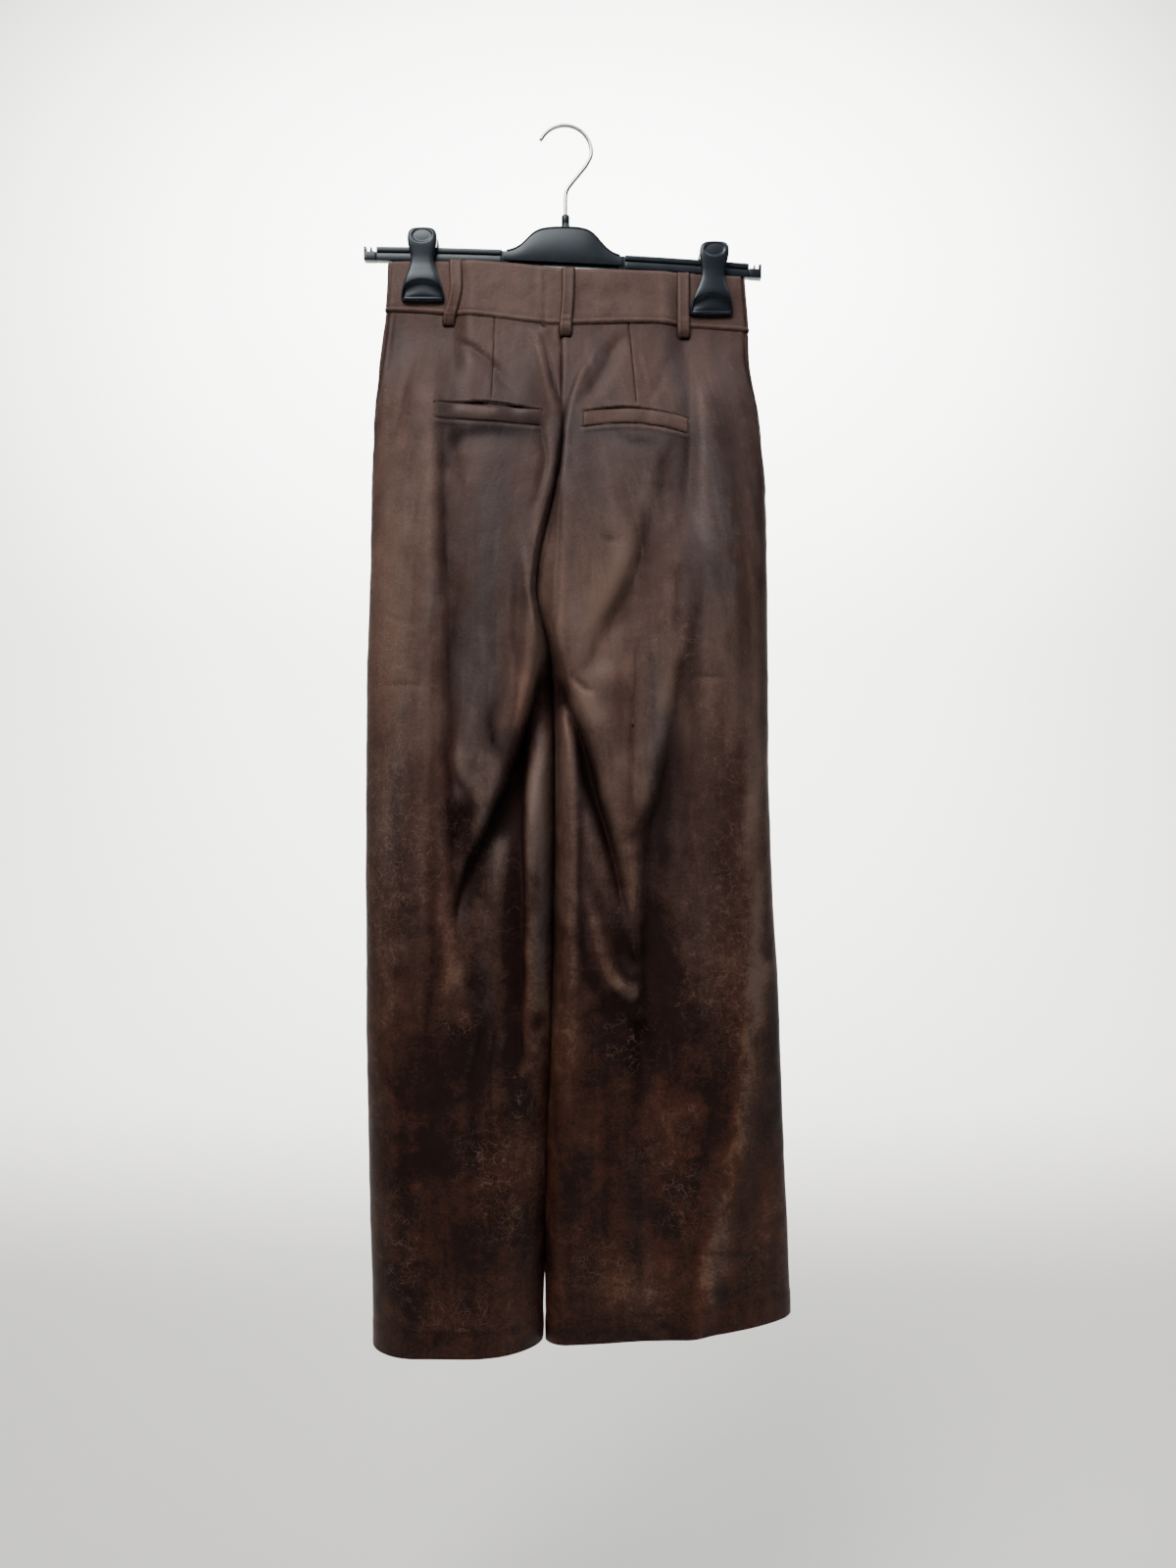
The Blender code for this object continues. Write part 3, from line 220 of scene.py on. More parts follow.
# Creases that run any way: name, reach, then (x, drop, rise) along the line
backLines = [
    ("hanging fold", 5.5, [(16, 716, 0), (27, 755, 5), (36, 792, 8), (45, 817, 10), (55, 829, 9), (65, 831, 5),
        (75, 822, 0)]),
    ("inside the hanging fold", 8, [(38, 735, 0), (48, 768, -4), (57, 795, -6), (66, 804, -5), (76, 790, 0)]),
    ("under the hanging fold", 10, [(30, 806, 0), (44, 845, -4), (58, 860, -8), (72, 872, -11), (77, 905, -6),
        (74, 950, 0)]),
    ("left of the hanging lobe", 6, [(-116, 585, 0), (-111, 612, -3), (-101, 634, -4), (-89, 651, -4),
        (-76, 664, 0)]),
    ("dark pocket", 11, [(-82, 650, 0), (-90, 667, -9), (-98, 688, -9), (-107, 716, 0)]),
    ("under the long lobe", 8, [(94, 640, 0), (84, 665, -3), (71, 683, -4), (59, 692, -3), (50, 698, 0)]),
    ("dimple in the drape", 4, [(5, 530, 0), (12, 540, -2.4), (21, 548, -2.4), (29, 553, 0)]),
    ("small dimple", 4, [(33, 404, 0), (42, 409, -1.2), (56, 408, 0)]),
    ("knee crescent", 5, [(-86, 732, 0), (-77, 743, -1.1), (-68, 756, -1.1), (-63, 768, 0)]),
    ("fork line", 2.0, [(-8, 372, 0), (-12, 395, -1.4), (-18, 425, -1.8), (-22, 446, -1.4), (-24, 458, 0)]),
    ("line down the crest", 1.7, [(1, 340, 0), (-2, 375, -1.2), (-4, 430, -1.7), (-6, 480, -1.7), (-10, 508, 0)]),
    ("left lip by the fork", 4, [(-36, 402, 0), (-35, 425, 1.6), (-33, 455, 2.4), (-29, 480, 1.6), (-24, 498, 0)]),
    ("shin cut", 4, [(-67, 852, 0), (-73, 870, -2.4), (-79, 892, -2.0), (-84, 910, 0)]),
]
# Short cracks: reach, depth, then (x, drop) where each starts, turns and ends
shortCracks = [
    (2.0, 1.3, (62, 974), (76, 975), (93, 973)), (2.0, 1.3, (137, 1011), (146, 1003), (154, 997)),
    (2.1, 1.4, (178, 1028), (190, 1041), (203, 1050)), (2.2, 1.4, (106, 1080), (140, 1082), (176, 1080)),
    (2.0, 1.3, (161, 1062), (164, 1070), (168, 1077)), (2.1, 1.4, (167, 477), (174, 487), (182, 498)),
    (2.2, 1.3, (117, 533), (140, 536), (162, 534)), (2.2, 1.3, (147, 608), (166, 612), (184, 611)),
    (2.3, 1.4, (153, 641), (170, 646), (189, 644)), (2.2, 1.3, (-184, 539), (-150, 544), (-114, 542)),
    (2.1, 1.1, (-180, 470), (-158, 481), (-132, 490)), (2.1, 1.1, (-120, 930), (-104, 934), (-88, 930)),
    (2.1, 1.1, (-165, 1044), (-146, 1040), (-128, 1042)), (2.1, 1.1, (-62, 925), (-56, 915), (-46, 906)),
]
backLines += [("crack", reach, [(*start, 0), (*turn, -depth), (*end, 0)])
              for reach, depth, start, turn, end in shortCracks]
frontLines = [
    ("crack in front", 2.3, [(-160, 560, 0), (-140, 566, -1.3), (-112, 562, 0)]),
    ("right crack in front", 2.3, [(110, 640, 0), (136, 646, -1.3), (160, 640, 0)]),
    ("knee crescent in front", 5, [(60, 720, 0), (74, 736, -2.4), (92, 744, -2.2), (110, 742, 0)]),
    ("left knee crescent in front", 5, [(-118, 742, 0), (-100, 752, -2.4), (-84, 752, -2.0), (-68, 742, 0)]),
]

# Worn and dark patches on the back, with painted light and shade among them (lit fold edges and lobes, sheen along
# ridges, shade in pockets, under folds and under the welts): x, drop, half sizes, and how much paler (or darker) they
# are
backWearAndPaintedLight = [
    (-105, 790, 9, 45, 0.14), (-103, 827, 11, 20, 0.26), (-50, 982, 25, 22, 0.22), (-50, 1030, 24, 16, 0.16),
    (-111, 1121, 19, 22, 0.20), (6, 852, 22, 33, 0.18), (98, 941, 25, 30, 0.20), (117, 1002, 22, 42, 0.26),
    (59, 1121, 26, 17, 0.34), (98, 1085, 17, 17, 0.22), (131, 804, 30, 42, 0.18), (184, 1055, 22, 42, 0.14),
    (-170, 929, 10, 84, 0.16), (-25, 835, 11, 45, 0.20), (-155, 479, 25, 75, 0.20), (-39, 539, 11, 30, 0.24),
    (23, 564, 14, 17, 0.22), (59, 720, 17, 14, 0.26), (-20, 400, 8, 40, 0.10), (40, 500, 22, 14, 0.14),
    (-160, 1130, 14, 20, 0.10), (-138, 890, 26, 40, -0.10), (-118, 975, 40, 40, -0.08), (-89, 1077, 55, 25, -0.14),
    (56, 874, 24, 27, -0.24), (11, 1021, 19, 44, -0.16), (192, 957, 12, 55, -0.14), (75, 1013, 25, 30, -0.12),
    (-50, 882, 25, 28, -0.18), (142, 893, 22, 33, -0.14), (-58, 583, 8, 30, -0.10), (-136, 620, 17, 42, -0.12),
    (-94, 677, 15, 21, -0.38), (-50, 750, 19, 50, -0.22), (153, 667, 22, 33, -0.14), (9, 775, 11, 17, -0.14),
    (109, 625, 19, 36, -0.12), (-172, 1110, 5, 16, -0.20), (-106, 400, 7, 110, -0.12), (-104, 620, 9, 80, -0.14),
    (150, 470, 9, 70, -0.08), (-76, 305, 44, 7, -0.30), (66, 308, 24, 8, -0.30), (-168, 232, 9, 34, -0.14),
    (158, 950, 9, 60, 0.12), (142, 1075, 9, 60, 0.12), (-104, 500, 7, 90, -0.12), (-145, 238, 20, 46, -0.16),
    (-112, 238, 12, 40, -0.10), (-160, 400, 24, 100, 0.34), (-152, 585, 30, 80, 0.22), (-168, 740, 13, 110, 0.20),
    (-58, 285, 52, 52, -0.20), (-16, 300, 14, 70, -0.16), (-20, 455, 12, 60, 0.18), (-20, 660, 15, 95, 0.26),
    (20, 490, 24, 70, 0.34), (56, 420, 15, 42, 0.26), (82, 368, 12, 32, 0.26), (100, 545, 20, 58, 0.26),
    (68, 625, 17, 36, 0.36), (152, 460, 12, 78, 0.26), (183, 740, 11, 160, 0.34), (9, 730, 13, 95, 0.26),
    (-88, 598, 15, 60, 0.30), (-93, 612, 11, 18, 0.28), (-44, 748, 13, 56, -0.36), (-94, 896, 15, 50, -0.34),
    (-44, 890, 15, 42, -0.30), (58, 876, 17, 36, -0.34), (104, 845, 20, 56, -0.34), (82, 842, 12, 46, -0.28),
    (-143, 1030, 14, 90, -0.12), (-120, 940, 14, 24, -0.22), (135, 968, 26, 52, -0.22), (-19, 1088, 13, 44, -0.16),
    (8, 1020, 13, 44, -0.14), (106, 1050, 13, 42, -0.24), (-143, 760, 14, 60, -0.12), (-20, 885, 13, 110, 0.48),
    (-160, 830, 24, 60, 0.15), (-62, 592, 6, 34, -0.18), (-60, 636, 9, 14, 0.26), (22, 560, 12, 12, 0.18),
    (41, 533, 14, 16, 0.24), (42, 690, 12, 30, 0.30), (-103, 790, 12, 48, 0.20), (183, 760, 11, 150, 0.14),
    (158, 800, 12, 40, 0.20), (44, 500, 20, 44, 0.16), (40, 450, 20, 40, 0.18), (82, 372, 14, 28, 0.18),
    (152, 516, 11, 36, 0.22), (118, 505, 9, 40, -0.14), (100, 575, 9, 44, -0.18), (88, 645, 9, 34, -0.22),
    (-104, 300, 10, 46, -0.14), (-122, 330, 8, 60, 0.08), (112, 330, 8, 60, -0.16), (140, 350, 10, 90, 0.08),
    (163, 330, 7, 90, -0.10), (-32, 262, 12, 24, -0.14), (14, 240, 8, 26, -0.12), (-10, 320, 5, 30, 0.20),
    (0, 312, 2.6, 26, -0.60), (-3, 340, 2.6, 14, -0.40), (-18, 543, 7, 20, -0.45), (-3, 548, 6, 20, -0.45),
    (20, 628, 8, 24, -0.40), (-60, 602, 8, 28, -0.16), (31, 768, 5, 26, 0.34), (38, 800, 6, 16, 0.44),
    (49, 820, 8, 9, 0.60), (62, 828, 9, 7, 0.62), (72, 824, 7, 6, 0.34), (70, 866, 22, 26, -0.52),
    (91, 834, 13, 54, -0.34), (60, 776, 8, 30, -0.26), (26, 812, 5, 34, -0.30), (44, 848, 12, 10, -0.36),
    (187, 802, 7, 46, 0.10), (181, 855, 7, 42, 0.28), (174, 915, 8, 44, 0.36), (163, 975, 9, 44, 0.36),
    (151, 1035, 10, 40, 0.32), (139, 1092, 11, 40, 0.26), (202, 880, 8, 70, -0.22), (168, 1040, 8, 60, -0.18),
    (192, 985, 8, 40, -0.16), (168, 590, 18, 64, 0.20), (178, 660, 10, 40, 0.16), (-104, 965, 50, 110, -0.15),
    (-19, 690, 12, 90, 0.20), (105, 572, 11, 42, 0.26), (-66, 684, 12, 34, 0.20), (-45, 768, 10, 46, -0.42),
    (30, 742, 8, 22, -0.22), (76, 738, 18, 24, 0.26), (57, 872, 15, 20, -0.50), (102, 812, 12, 26, -0.20),
    (30, 886, 9, 26, -0.20), (-94, 872, 12, 18, -0.34), (-43, 888, 11, 30, -0.26), (-146, 1008, 13, 30, -0.20),
    (-64, 1016, 10, 12, -0.26), (-42, 1056, 12, 16, -0.20), (122, 1012, 30, 16, -0.22), (153, 962, 12, 30, -0.20),
    (-140, 1122, 12, 44, -0.22), (30, 1160, 90, 8, -0.14), (-116, 1158, 14, 9, -0.24), (33, 640, 8, 20, 0.26),
    (-47, 624, 7, 26, 0.30), (-28, 985, 22, 90, -0.10), (86, 838, 18, 48, -0.16), (76, 872, 26, 36, -0.34),
    (-101, 668, 11, 36, -0.34), (-95, 700, 12, 20, -0.18), (-104, 830, 9, 26, 0.14), (-100, 860, 9, 12, 0.16),
    (86, 690, 12, 40, -0.16), (-52, 1000, 24, 16, 0.14), (110, 985, 26, 40, 0.10), (-132, 905, 12, 20, 0.16),
    (-108, 968, 14, 10, 0.18), (-146, 985, 10, 16, 0.16), (-128, 1018, 18, 9, 0.16), (-96, 1020, 10, 14, 0.14),
    (-78, 948, 12, 12, 0.14), (-160, 870, 10, 30, 0.14), (-118, 870, 8, 14, 0.14), (-60, 1010, 26, 10, 0.18),
    (-34, 990, 12, 16, 0.18), (-140, 1060, 14, 10, 0.12), (-110, 1096, 20, 8, 0.14), (30, 1040, 22, 10, 0.12),
    (52, 985, 16, 10, 0.12), (88, 1010, 14, 14, 0.12), (24, 960, 12, 16, 0.10), (150, 870, 14, 14, 0.14),
    (128, 900, 12, 16, 0.12), (70, 1060, 18, 10, 0.14), (36, 1090, 14, 12, 0.12),
]
# Patches on the back of the band, among them painted shadows beside the loops and the right clip
bandPatchesAndPaintedShadows = [
    (-84, 172, 16, 14, -0.22), (12, 166, 9, 22, -0.24), (62, 158, 26, 9, -0.12), (-44, 152, 20, 8, 0.10),
    (-60, 178, 30, 6, 0.10), (96, 172, 12, 16, -0.12), (-160, 165, 8, 20, -0.18), (168, 172, 10, 20, -0.30),
    (-19, 168, 5, 24, 0.16), (34, 180, 20, 8, 0.08), (130, 150, 8, 20, -0.26), (-98, 148, 5, 18, -0.20),
]
frontBandPatches = [
    (-122, 165, 20, 20, -0.22), (-60, 160, 24, 16, 0.10), (60, 165, 20, 20, -0.20), (120, 160, 26, 18, 0.08),
    (-168, 165, 9, 20, -0.20), (168, 172, 9, 20, -0.24), (-20, 170, 12, 18, -0.14), (24, 160, 14, 14, 0.08),
]
# Greyer stretches on the back, painted sheen where the light would catch and a painted bluish shadow under the welts
# (below nought: redder, painted shade in troughs): x, drop, half sizes, amount
backPaintedSheen = [
    (-68, 390, 30, 120, 0.75), (-70, 560, 22, 90, 0.55), (135, 440, 26, 110, 0.70), (92, 360, 20, 60, 0.30),
    (92, 560, 18, 90, 0.60), (-20, 660, 12, 80, 0.25), (182, 870, 11, 90, 0.35), (-62, 700, 18, 40, 0.50),
    (-78, 860, 14, 70, 0.60), (-18, 780, 10, 60, 0.50), (20, 330, 30, 50, 0.35), (-110, 250, 24, 60, 0.40),
    (112, 800, 26, 60, 0.20), (56, 560, 16, 50, 0.15), (-165, 215, 12, 40, 0.50), (-55, 300, 50, 14, 0.70),
    (60, 306, 50, 12, 0.50), (-44, 560, 12, 50, -0.45), (-44, 740, 14, 80, -0.60), (10, 690, 14, 60, -0.20),
    (156, 640, 14, 70, -0.50), (-110, 620, 8, 160, -0.50), (-76, 305, 44, 7, 0.60), (66, 308, 26, 8, 0.80),
    (56, 870, 26, 50, -0.50), (104, 860, 16, 60, -0.40), (-126, 920, 20, 60, -0.25), (132, 980, 26, 70, -0.45),
    (-20, 300, 10, 60, -0.25), (110, 610, 8, 60, -0.35), (98, 410, 14, 60, -0.25), (170, 950, 9, 60, 0.40),
    (150, 1045, 12, 60, 0.40), (56, 822, 14, 12, 0.40),
]
# Where fine cracks gather: x, drop, half sizes
backCracks = [
    (-160, 545, 24, 70), (160, 728, 32, 60), (-50, 1030, 30, 45), (-42, 931, 20, 25), (100, 498, 24, 28),
    (-97, 857, 15, 20), (115, 1032, 25, 40), (-134, 692, 30, 60), (60, 894, 22, 22), (30, 1090, 30, 24),
    (140, 820, 28, 40), (-150, 1060, 20, 40), (70, 1125, 34, 20), (-166, 600, 18, 90), (-166, 760, 16, 90),
    (-100, 1130, 40, 20), (170, 840, 18, 50), (-70, 985, 24, 24), (150, 600, 20, 40), (100, 980, 24, 30),
    (180, 1090, 20, 30),
]
# The same three on the front
frontPatches = [
    (-100, 250, 50, 60, -0.14), (100, 250, 50, 60, -0.14), (-140, 330, 20, 60, 0.16), (-96, 420, 26, 80, -0.16),
    (-150, 520, 18, 90, 0.18), (-110, 640, 26, 60, -0.14), (-140, 760, 24, 70, 0.16), (-84, 840, 30, 60, -0.24),
    (-150, 930, 22, 60, -0.18), (-110, 980, 20, 50, 0.22), (-60, 1020, 24, 60, -0.22), (-130, 1080, 30, 40, -0.20),
    (-90, 1130, 26, 24, 0.22), (-40, 930, 14, 60, 0.16), (-50, 700, 14, 70, 0.14), (-30, 560, 14, 50, -0.14),
    (60, 330, 26, 60, 0.10), (120, 420, 24, 80, -0.12), (150, 540, 22, 80, 0.18), (80, 560, 20, 60, 0.12),
    (104, 680, 28, 60, -0.16), (160, 740, 22, 80, 0.16), (70, 800, 24, 60, 0.16), (116, 860, 30, 50, -0.24),
    (170, 930, 22, 60, -0.20), (60, 950, 22, 60, -0.20), (110, 1000, 24, 44, 0.24), (160, 1060, 24, 50, 0.16),
    (80, 1090, 30, 40, -0.22), (190, 1110, 20, 40, 0.14), (30, 1060, 18, 60, 0.14), (24, 760, 14, 80, -0.12),
    (-165, 1110, 14, 40, 0.14), (30, 420, 16, 60, -0.08),
]
# Painted sheen on the front as well: greyer on the upper thighs, redder painted shade lower down
frontPaintedSheen = [
    (-90, 360, 34, 100, 0.60), (-60, 560, 26, 90, 0.45), (90, 400, 34, 110, 0.60), (140, 620, 26, 90, 0.45),
    (-140, 700, 20, 90, -0.35), (60, 700, 24, 90, -0.35), (-120, 900, 40, 90, -0.35), (120, 900, 40, 90, -0.35),
    (150, 300, 20, 60, -0.20), (-150, 300, 20, 60, -0.20), (-80, 1060, 50, 60, -0.30), (100, 1080, 60, 60, -0.30),
]
frontCracks = [
    (-110, 480, 28, 50), (-130, 700, 30, 60), (-90, 900, 30, 50), (-60, 1080, 34, 40), (110, 520, 28, 50),
    (150, 720, 30, 60), (80, 880, 30, 50), (130, 1060, 34, 44),
]
frontCreases = [
    ("left thigh drag", 5, 5, [(420, -110, 0), (480, -100, -1.8), (540, -86, -1.6), (590, -74, 0)]),
    ("left knee drag", 5, 6, [(690, -70, 0), (740, -84, -2.0), (800, -92, -1.8), (850, -90, 0)]),
    ("left shin drag", 6, 6, [(900, -140, 0), (960, -132, -1.8), (1030, -128, -1.6), (1100, -132, 0)]),
    ("right thigh drag", 5, 5, [(430, 112, 0), (490, 98, -1.8), (550, 84, -1.6), (600, 74, 0)]),
    ("right knee drag", 6, 5, [(700, 84, 0), (760, 96, -2.0), (820, 104, -1.8), (880, 100, 0)]),
    ("right shin drag", 6, 6, [(920, 150, 0), (980, 142, -1.8), (1040, 138, -1.6), (1110, 142, 0)]),
    ("left pull from the fly", 4, 4, [(300, -16, 0), (322, -30, -1.2), (350, -46, -1.2), (372, -60, 0)]),
    ("right pull from the fly", 4, 4, [(330, 30, 0), (350, 44, -1.2), (372, 58, -1.0), (392, 70, 0)]),
]


def foldLift(folds, x, drop):
    lift = np.zeros(np.broadcast(x, drop).shape)
    for name, left, right, path, *flatness in folds:
        drops, places, rises = np.array(path, float).T
        line = smoothRead(drops, places, drop)
        rise = np.where((drop < drops[0]) | (drop > drops[-1]), 0.0, smoothRead(drops, rises, drop))
        reach = np.where(x < line, left, right)
        lift += rise * np.exp(-np.abs((x - line) / reach) ** (flatness[0] if flatness else 2))
    return lift


def lineLift(lines, x, drop):
    lift = np.zeros(np.broadcast(x, drop).shape)
    for name, reach, path in lines:
        nearest = np.full(lift.shape, np.inf)
        rise = np.zeros(lift.shape)
        for (x0, drop0, rise0), (x1, drop1, rise1) in zip(path, path[1:]):
            runX, runDrop = x1 - x0, drop1 - drop0
            t = np.clip(((x - x0) * runX + (drop - drop0) * runDrop) / (runX**2 + runDrop**2), 0, 1)
            away = (x - x0 - t * runX) ** 2 + (drop - drop0 - t * runDrop) ** 2
            closer = away < nearest
            nearest = np.where(closer, away, nearest)
            rise = np.where(closer, rise0 + (rise1 - rise0) * t, rise)
        lift += rise * np.exp(-nearest / reach**2)
    return lift


patchEdge = {"wander": 9, "wanderSize": 22.0, "fall": 0.9}


def patchAt(patches, x, drop):
    # soft spots, with uneven edges
    shiftX, shiftDrop = (patchEdge["wander"] * waver(x, drop, patchEdge["wanderSize"], seed) for seed in (41, 42))
    total = np.zeros(x.shape)
    for spot in patches:
        placeX, placeDrop, halfX, halfDrop = spot[:4]
        away = ((x + shiftX - placeX) / halfX) ** 2 + ((drop + shiftDrop - placeDrop) / halfDrop) ** 2
        total += (spot[4] if len(spot) > 4 else 1.0) * np.exp(-away * patchEdge["fall"])
    return total


def pinchAt(x, drop):
    near = np.zeros(np.broadcast(x, drop).shape)
    for clipX in form["clipX"]:
        near = np.maximum(near, 1 - ease((np.abs(x - clipX) - form["pinchHalf"]) / form["pinchFade"]))
    return near * (1 - ease((drop - form["pinchFull"]) / (form["pinchEnd"] - form["pinchFull"])))


def section(half, drop):
    # one half in plan at a height, from the back seam round to the front seam
    side = "left" if half < 0 else "right"
    title = side.capitalize()
    middle = {key: read(form["middle"], key, drop) for key in ("x", "gap", "backY", "frontY", "round" + title)}
    depth = {key: read(form["depth"], key + title, drop) for key in ("back", "front", "round")}
    startX = middle["x"] + half * middle["gap"]
    width = half * (read(form["outline"], side, drop) - startX)
    edgeY = read(form["outline"], side + "Y", drop)
    backY, frontY, seamBackY, inner = depth["back"], depth["front"], middle["backY"], middle["round" + title]
    outerBack = min(depth["round"], 0.66 * width)
    outerFront = min(outerBack, form["frontRound"])
    seamFrontY = seamBackY if drop >= form["crotchDrop"] else middle["frontY"]
    turn, flat = np.linspace(0, math.pi / 2, 41), np.linspace(0, 1, 31)[1:-1]
    sine, cosine, one = np.sin(turn), np.cos(turn), np.ones(len(flat))
    across = np.concatenate([
        inner * (1 - cosine), inner + (width - outerBack - inner) * flat,
        width - outerBack + outerBack * sine, (width - outerFront + outerFront * cosine)[1:],
        width - outerFront + (inner - width + outerFront) * flat, inner * (1 - sine)])
    y = np.concatenate([
        seamBackY + (backY - seamBackY) * sine, backY * one, edgeY + (backY - edgeY) * cosine,
        (edgeY + (frontY - edgeY) * sine)[1:], frontY * one, seamFrontY + (frontY - seamFrontY) * cosine])
    facing = np.concatenate([sine, one, cosine, -sine[1:], -one, -cosine])
    return startX + half * across, y, facing
def clothGrid(half, part, rows, columns, upper, lower, dart=None, moreRows=()):
    # a back or front panel as rows of points, with each one's distance from the side seam and its drop
    nominal = {"bandTop": 138.0, "bandSeam": form["bandDrop"], "hem": form["hemDrop"]}
    start, tall = nominal[upper], nominal[lower] - nominal[upper]
    gap = form["seamGap"] / 2
    edgeSteps, dartSteps = np.array([0.5, 1.1, 1.9, 3.0]), np.linspace(-3.4, 3.4, 9)
    reach = 60  # points of a section that are surely on the back
    first, last = (gap / tall if upper == "bandSeam" else 0), 1 - (gap / tall if lower == "bandSeam" else 0)
    shares = np.sort(np.concatenate([np.linspace(first, last, rows), first + edgeSteps / tall,
                                     last - edgeSteps / tall, (np.array(moreRows) - start) / tall]))
    lines = {key: [] for key in ("x", "y", "facing", "drop", "width")}
    for share in shares:
        drop = start + tall * share
        x, y, facing = section(half, drop)
        stepX, stepY = np.diff(x), np.diff(y)
        length = np.hypot(stepX, stepY)
        heading = np.unwrap(np.arctan2(stepY, stepX))
        turning = np.abs(np.diff(heading, prepend=heading[0]))
        distance = np.concatenate([[0], np.cumsum(length)])
        pace = np.concatenate([[0], np.cumsum(length + form["turnPace"] * turning)])
        seam = distance[np.argmax(half * x)] - read(form["sideSeam"], "shift", drop)
        inseam = gap if drop > form["crotchDrop"] else 0.0
        ends = (inseam, seam - gap) if part == "back" else (seam + gap, distance[-1] - inseam)
        along = [np.interp(np.linspace(*np.interp(ends, distance, pace), columns), pace, distance),
                 ends[0] + edgeSteps, ends[1] - edgeSteps]
        if dart:
            dartX = np.interp(drop, dart["drop"], dart["x"])
            along.append(np.interp(half * dartX, half * x[:reach], distance[:reach]) + dartSteps)
        along = np.sort(np.concatenate(along))
        rowX = np.interp(along, distance, x)
        top, bottom = read(form["levels"], upper, rowX), read(form["levels"], lower, rowX)
        row = {"x": rowX, "y": np.interp(along, distance, y), "facing": np.interp(along, distance, facing),
               "drop": top + (bottom - top) * share, "width": along - seam}
        for key in lines:
            lines[key].append(row[key])
    x, y, facing, drop, width = (np.array(line) for line in lines.values())
    pressed = pinchAt(x, drop)
    y = y * (1 - pressed) + np.clip(y, -form["pinchDepth"], form["pinchDepth"]) * pressed
    backLift = foldLift(backFolds + backCreases, x, drop) + lineLift(backLines, x, drop)
    frontLift = foldLift(frontFolds + frontCreases, x, drop) + lineLift(frontLines, x, drop)
    y -= (1 - pressed) * backLift * np.clip(facing, 0, 1)
    y += (1 - pressed) * frontLift * np.clip(-facing, 0, 1)
    # hollow is how deep a point lies in a fold; it paints shade into the patch mark there
    return {"points": np.stack([x, y, -drop], axis=2), "x": x, "width": width, "drop": drop,
            "half": half, "facing": facing, "shares": shares, "upper": upper, "lower": lower,
            "hollow": ease((-np.where(facing > 0, backLift, frontLift) - 4) / 18)}
def outwardOf(points, half):
    outward = half * np.cross(np.gradient(points, axis=0), np.gradient(points, axis=1))
    return outward / np.linalg.norm(outward, axis=2, keepdims=True)


def softened(values, times):
    for _ in range(times):
        values = np.pad(values, ((1, 1), (1, 1), (0, 0)), mode="edge")
        values = (values[:-2, 1:-1] + values[2:, 1:-1] + values[1:-1, :-2] + values[1:-1, 2:]) / 4
    return values


def makeSheet(name, points, cloth, outward, marks, wall):
    # a sheet of cloth with a wall; cloth is each point's place on the flat cloth, and marks holds how far it bends out
    # (crest: paler on ridges as rubbing, darker in hollows as painted shade), how pale (patch: distressed patches with
    # painted light and shade), how grey with painted sheen and how cracked (crackle) it is there
    rows, columns = points.shape[:2]
    index = np.arange(rows * columns).reshape(rows, columns)
    quads = np.stack([index[:-1, :-1], index[:-1, 1:], index[1:, 1:], index[1:, :-1]], axis=2).reshape(-1, 4)
    row, column = rows // 2, columns // 2
    corner = points[row, column]
    normal = np.cross(points[row, column + 1] - corner, points[row + 1, column] - corner)
    if np.dot(normal, outward[row, column]) > 0:
        quads = quads[:, ::-1]
    mesh = bpy.data.meshes.new(name)
    mesh.from_pydata((points.reshape(-1, 3) * mm).tolist(), [], quads.tolist())
    layer = mesh.uv_layers.new(name="cloth")
    layer.data.foreach_set("uv", (cloth.reshape(-1, 2)[quads.ravel()] * mm).ravel())
    for mark, values in marks.items():
        mesh.attributes.new(mark, "FLOAT", "POINT").data.foreach_set("value", values.ravel())
    mesh.shade_smooth()
    piece = addObject(name, mesh)
    solid = piece.modifiers.new("Wall", "SOLIDIFY")
    solid.thickness = wall * mm
    solid.offset = -1.0
    return piece
# Materials
def newMaterial(name, sockets):
    material = bpy.data.materials.new(name)
    material.use_nodes = True
    shader = material.node_tree.nodes["Principled BSDF"]
    for socket, value in sockets.items():
        shader.inputs[socket].default_value = value
    return material, material.node_tree, shader


def node(tree, kind, inputs=None, **settings):
    made = tree.nodes.new(kind)
    for key, value in settings.items():
        setattr(made, key, value)
    for key, value in (inputs or {}).items():
        if isinstance(value, bpy.types.NodeSocket):
            tree.links.new(value, made.inputs[key])
        else:
            made.inputs[key].default_value = value
    return made


# Sizes are in mm, the two stretches down the leg in metres (where the lower legs turn darker, partly as painted shade,
# and more distressed, and where the painted sheen of the upper colours fades); veins are size and width
leather = {
    "dark": (0.0075, 0.0013, 0.0009), "mid": (0.053, 0.0175, 0.0092), "pale": (0.142, 0.075, 0.044),
    "upperSheenMid": (0.046, 0.0245, 0.0195), "upperSheenPale": (0.122, 0.076, 0.059), "vein": (0.170, 0.098, 0.064),
    "greyTint": (1.08, 0.99, 1.04), "redTint": (1.08, 0.91, 0.87), "greyShare": 0.70,
    "wearAndFalloff": (0.52, 0.92), "sheenFade": (0.60, 1.04), "tone": 0.47, "streaks": 0.45, "crests": 0.15, "patches": 0.80,
    "grainSize": 1.3, "speckSize": 2.6, "mottleSize": 12.0, "streakSize": 13.0, "patchSize": 60.0,
    "fineVeins": (6.5, 0.060), "coarseVeins": (15.0, 0.030), "fineShare": 0.70, "veinShare": 0.58, "veinDepth": -0.9,
    "roughness": 0.57, "bump": 0.55, "bumpDepth": 0.0008,
    "sockets": {"Specular IOR Level": 0.27, "Specular Tint": (1.0, 0.78, 0.74, 1.0)},
}


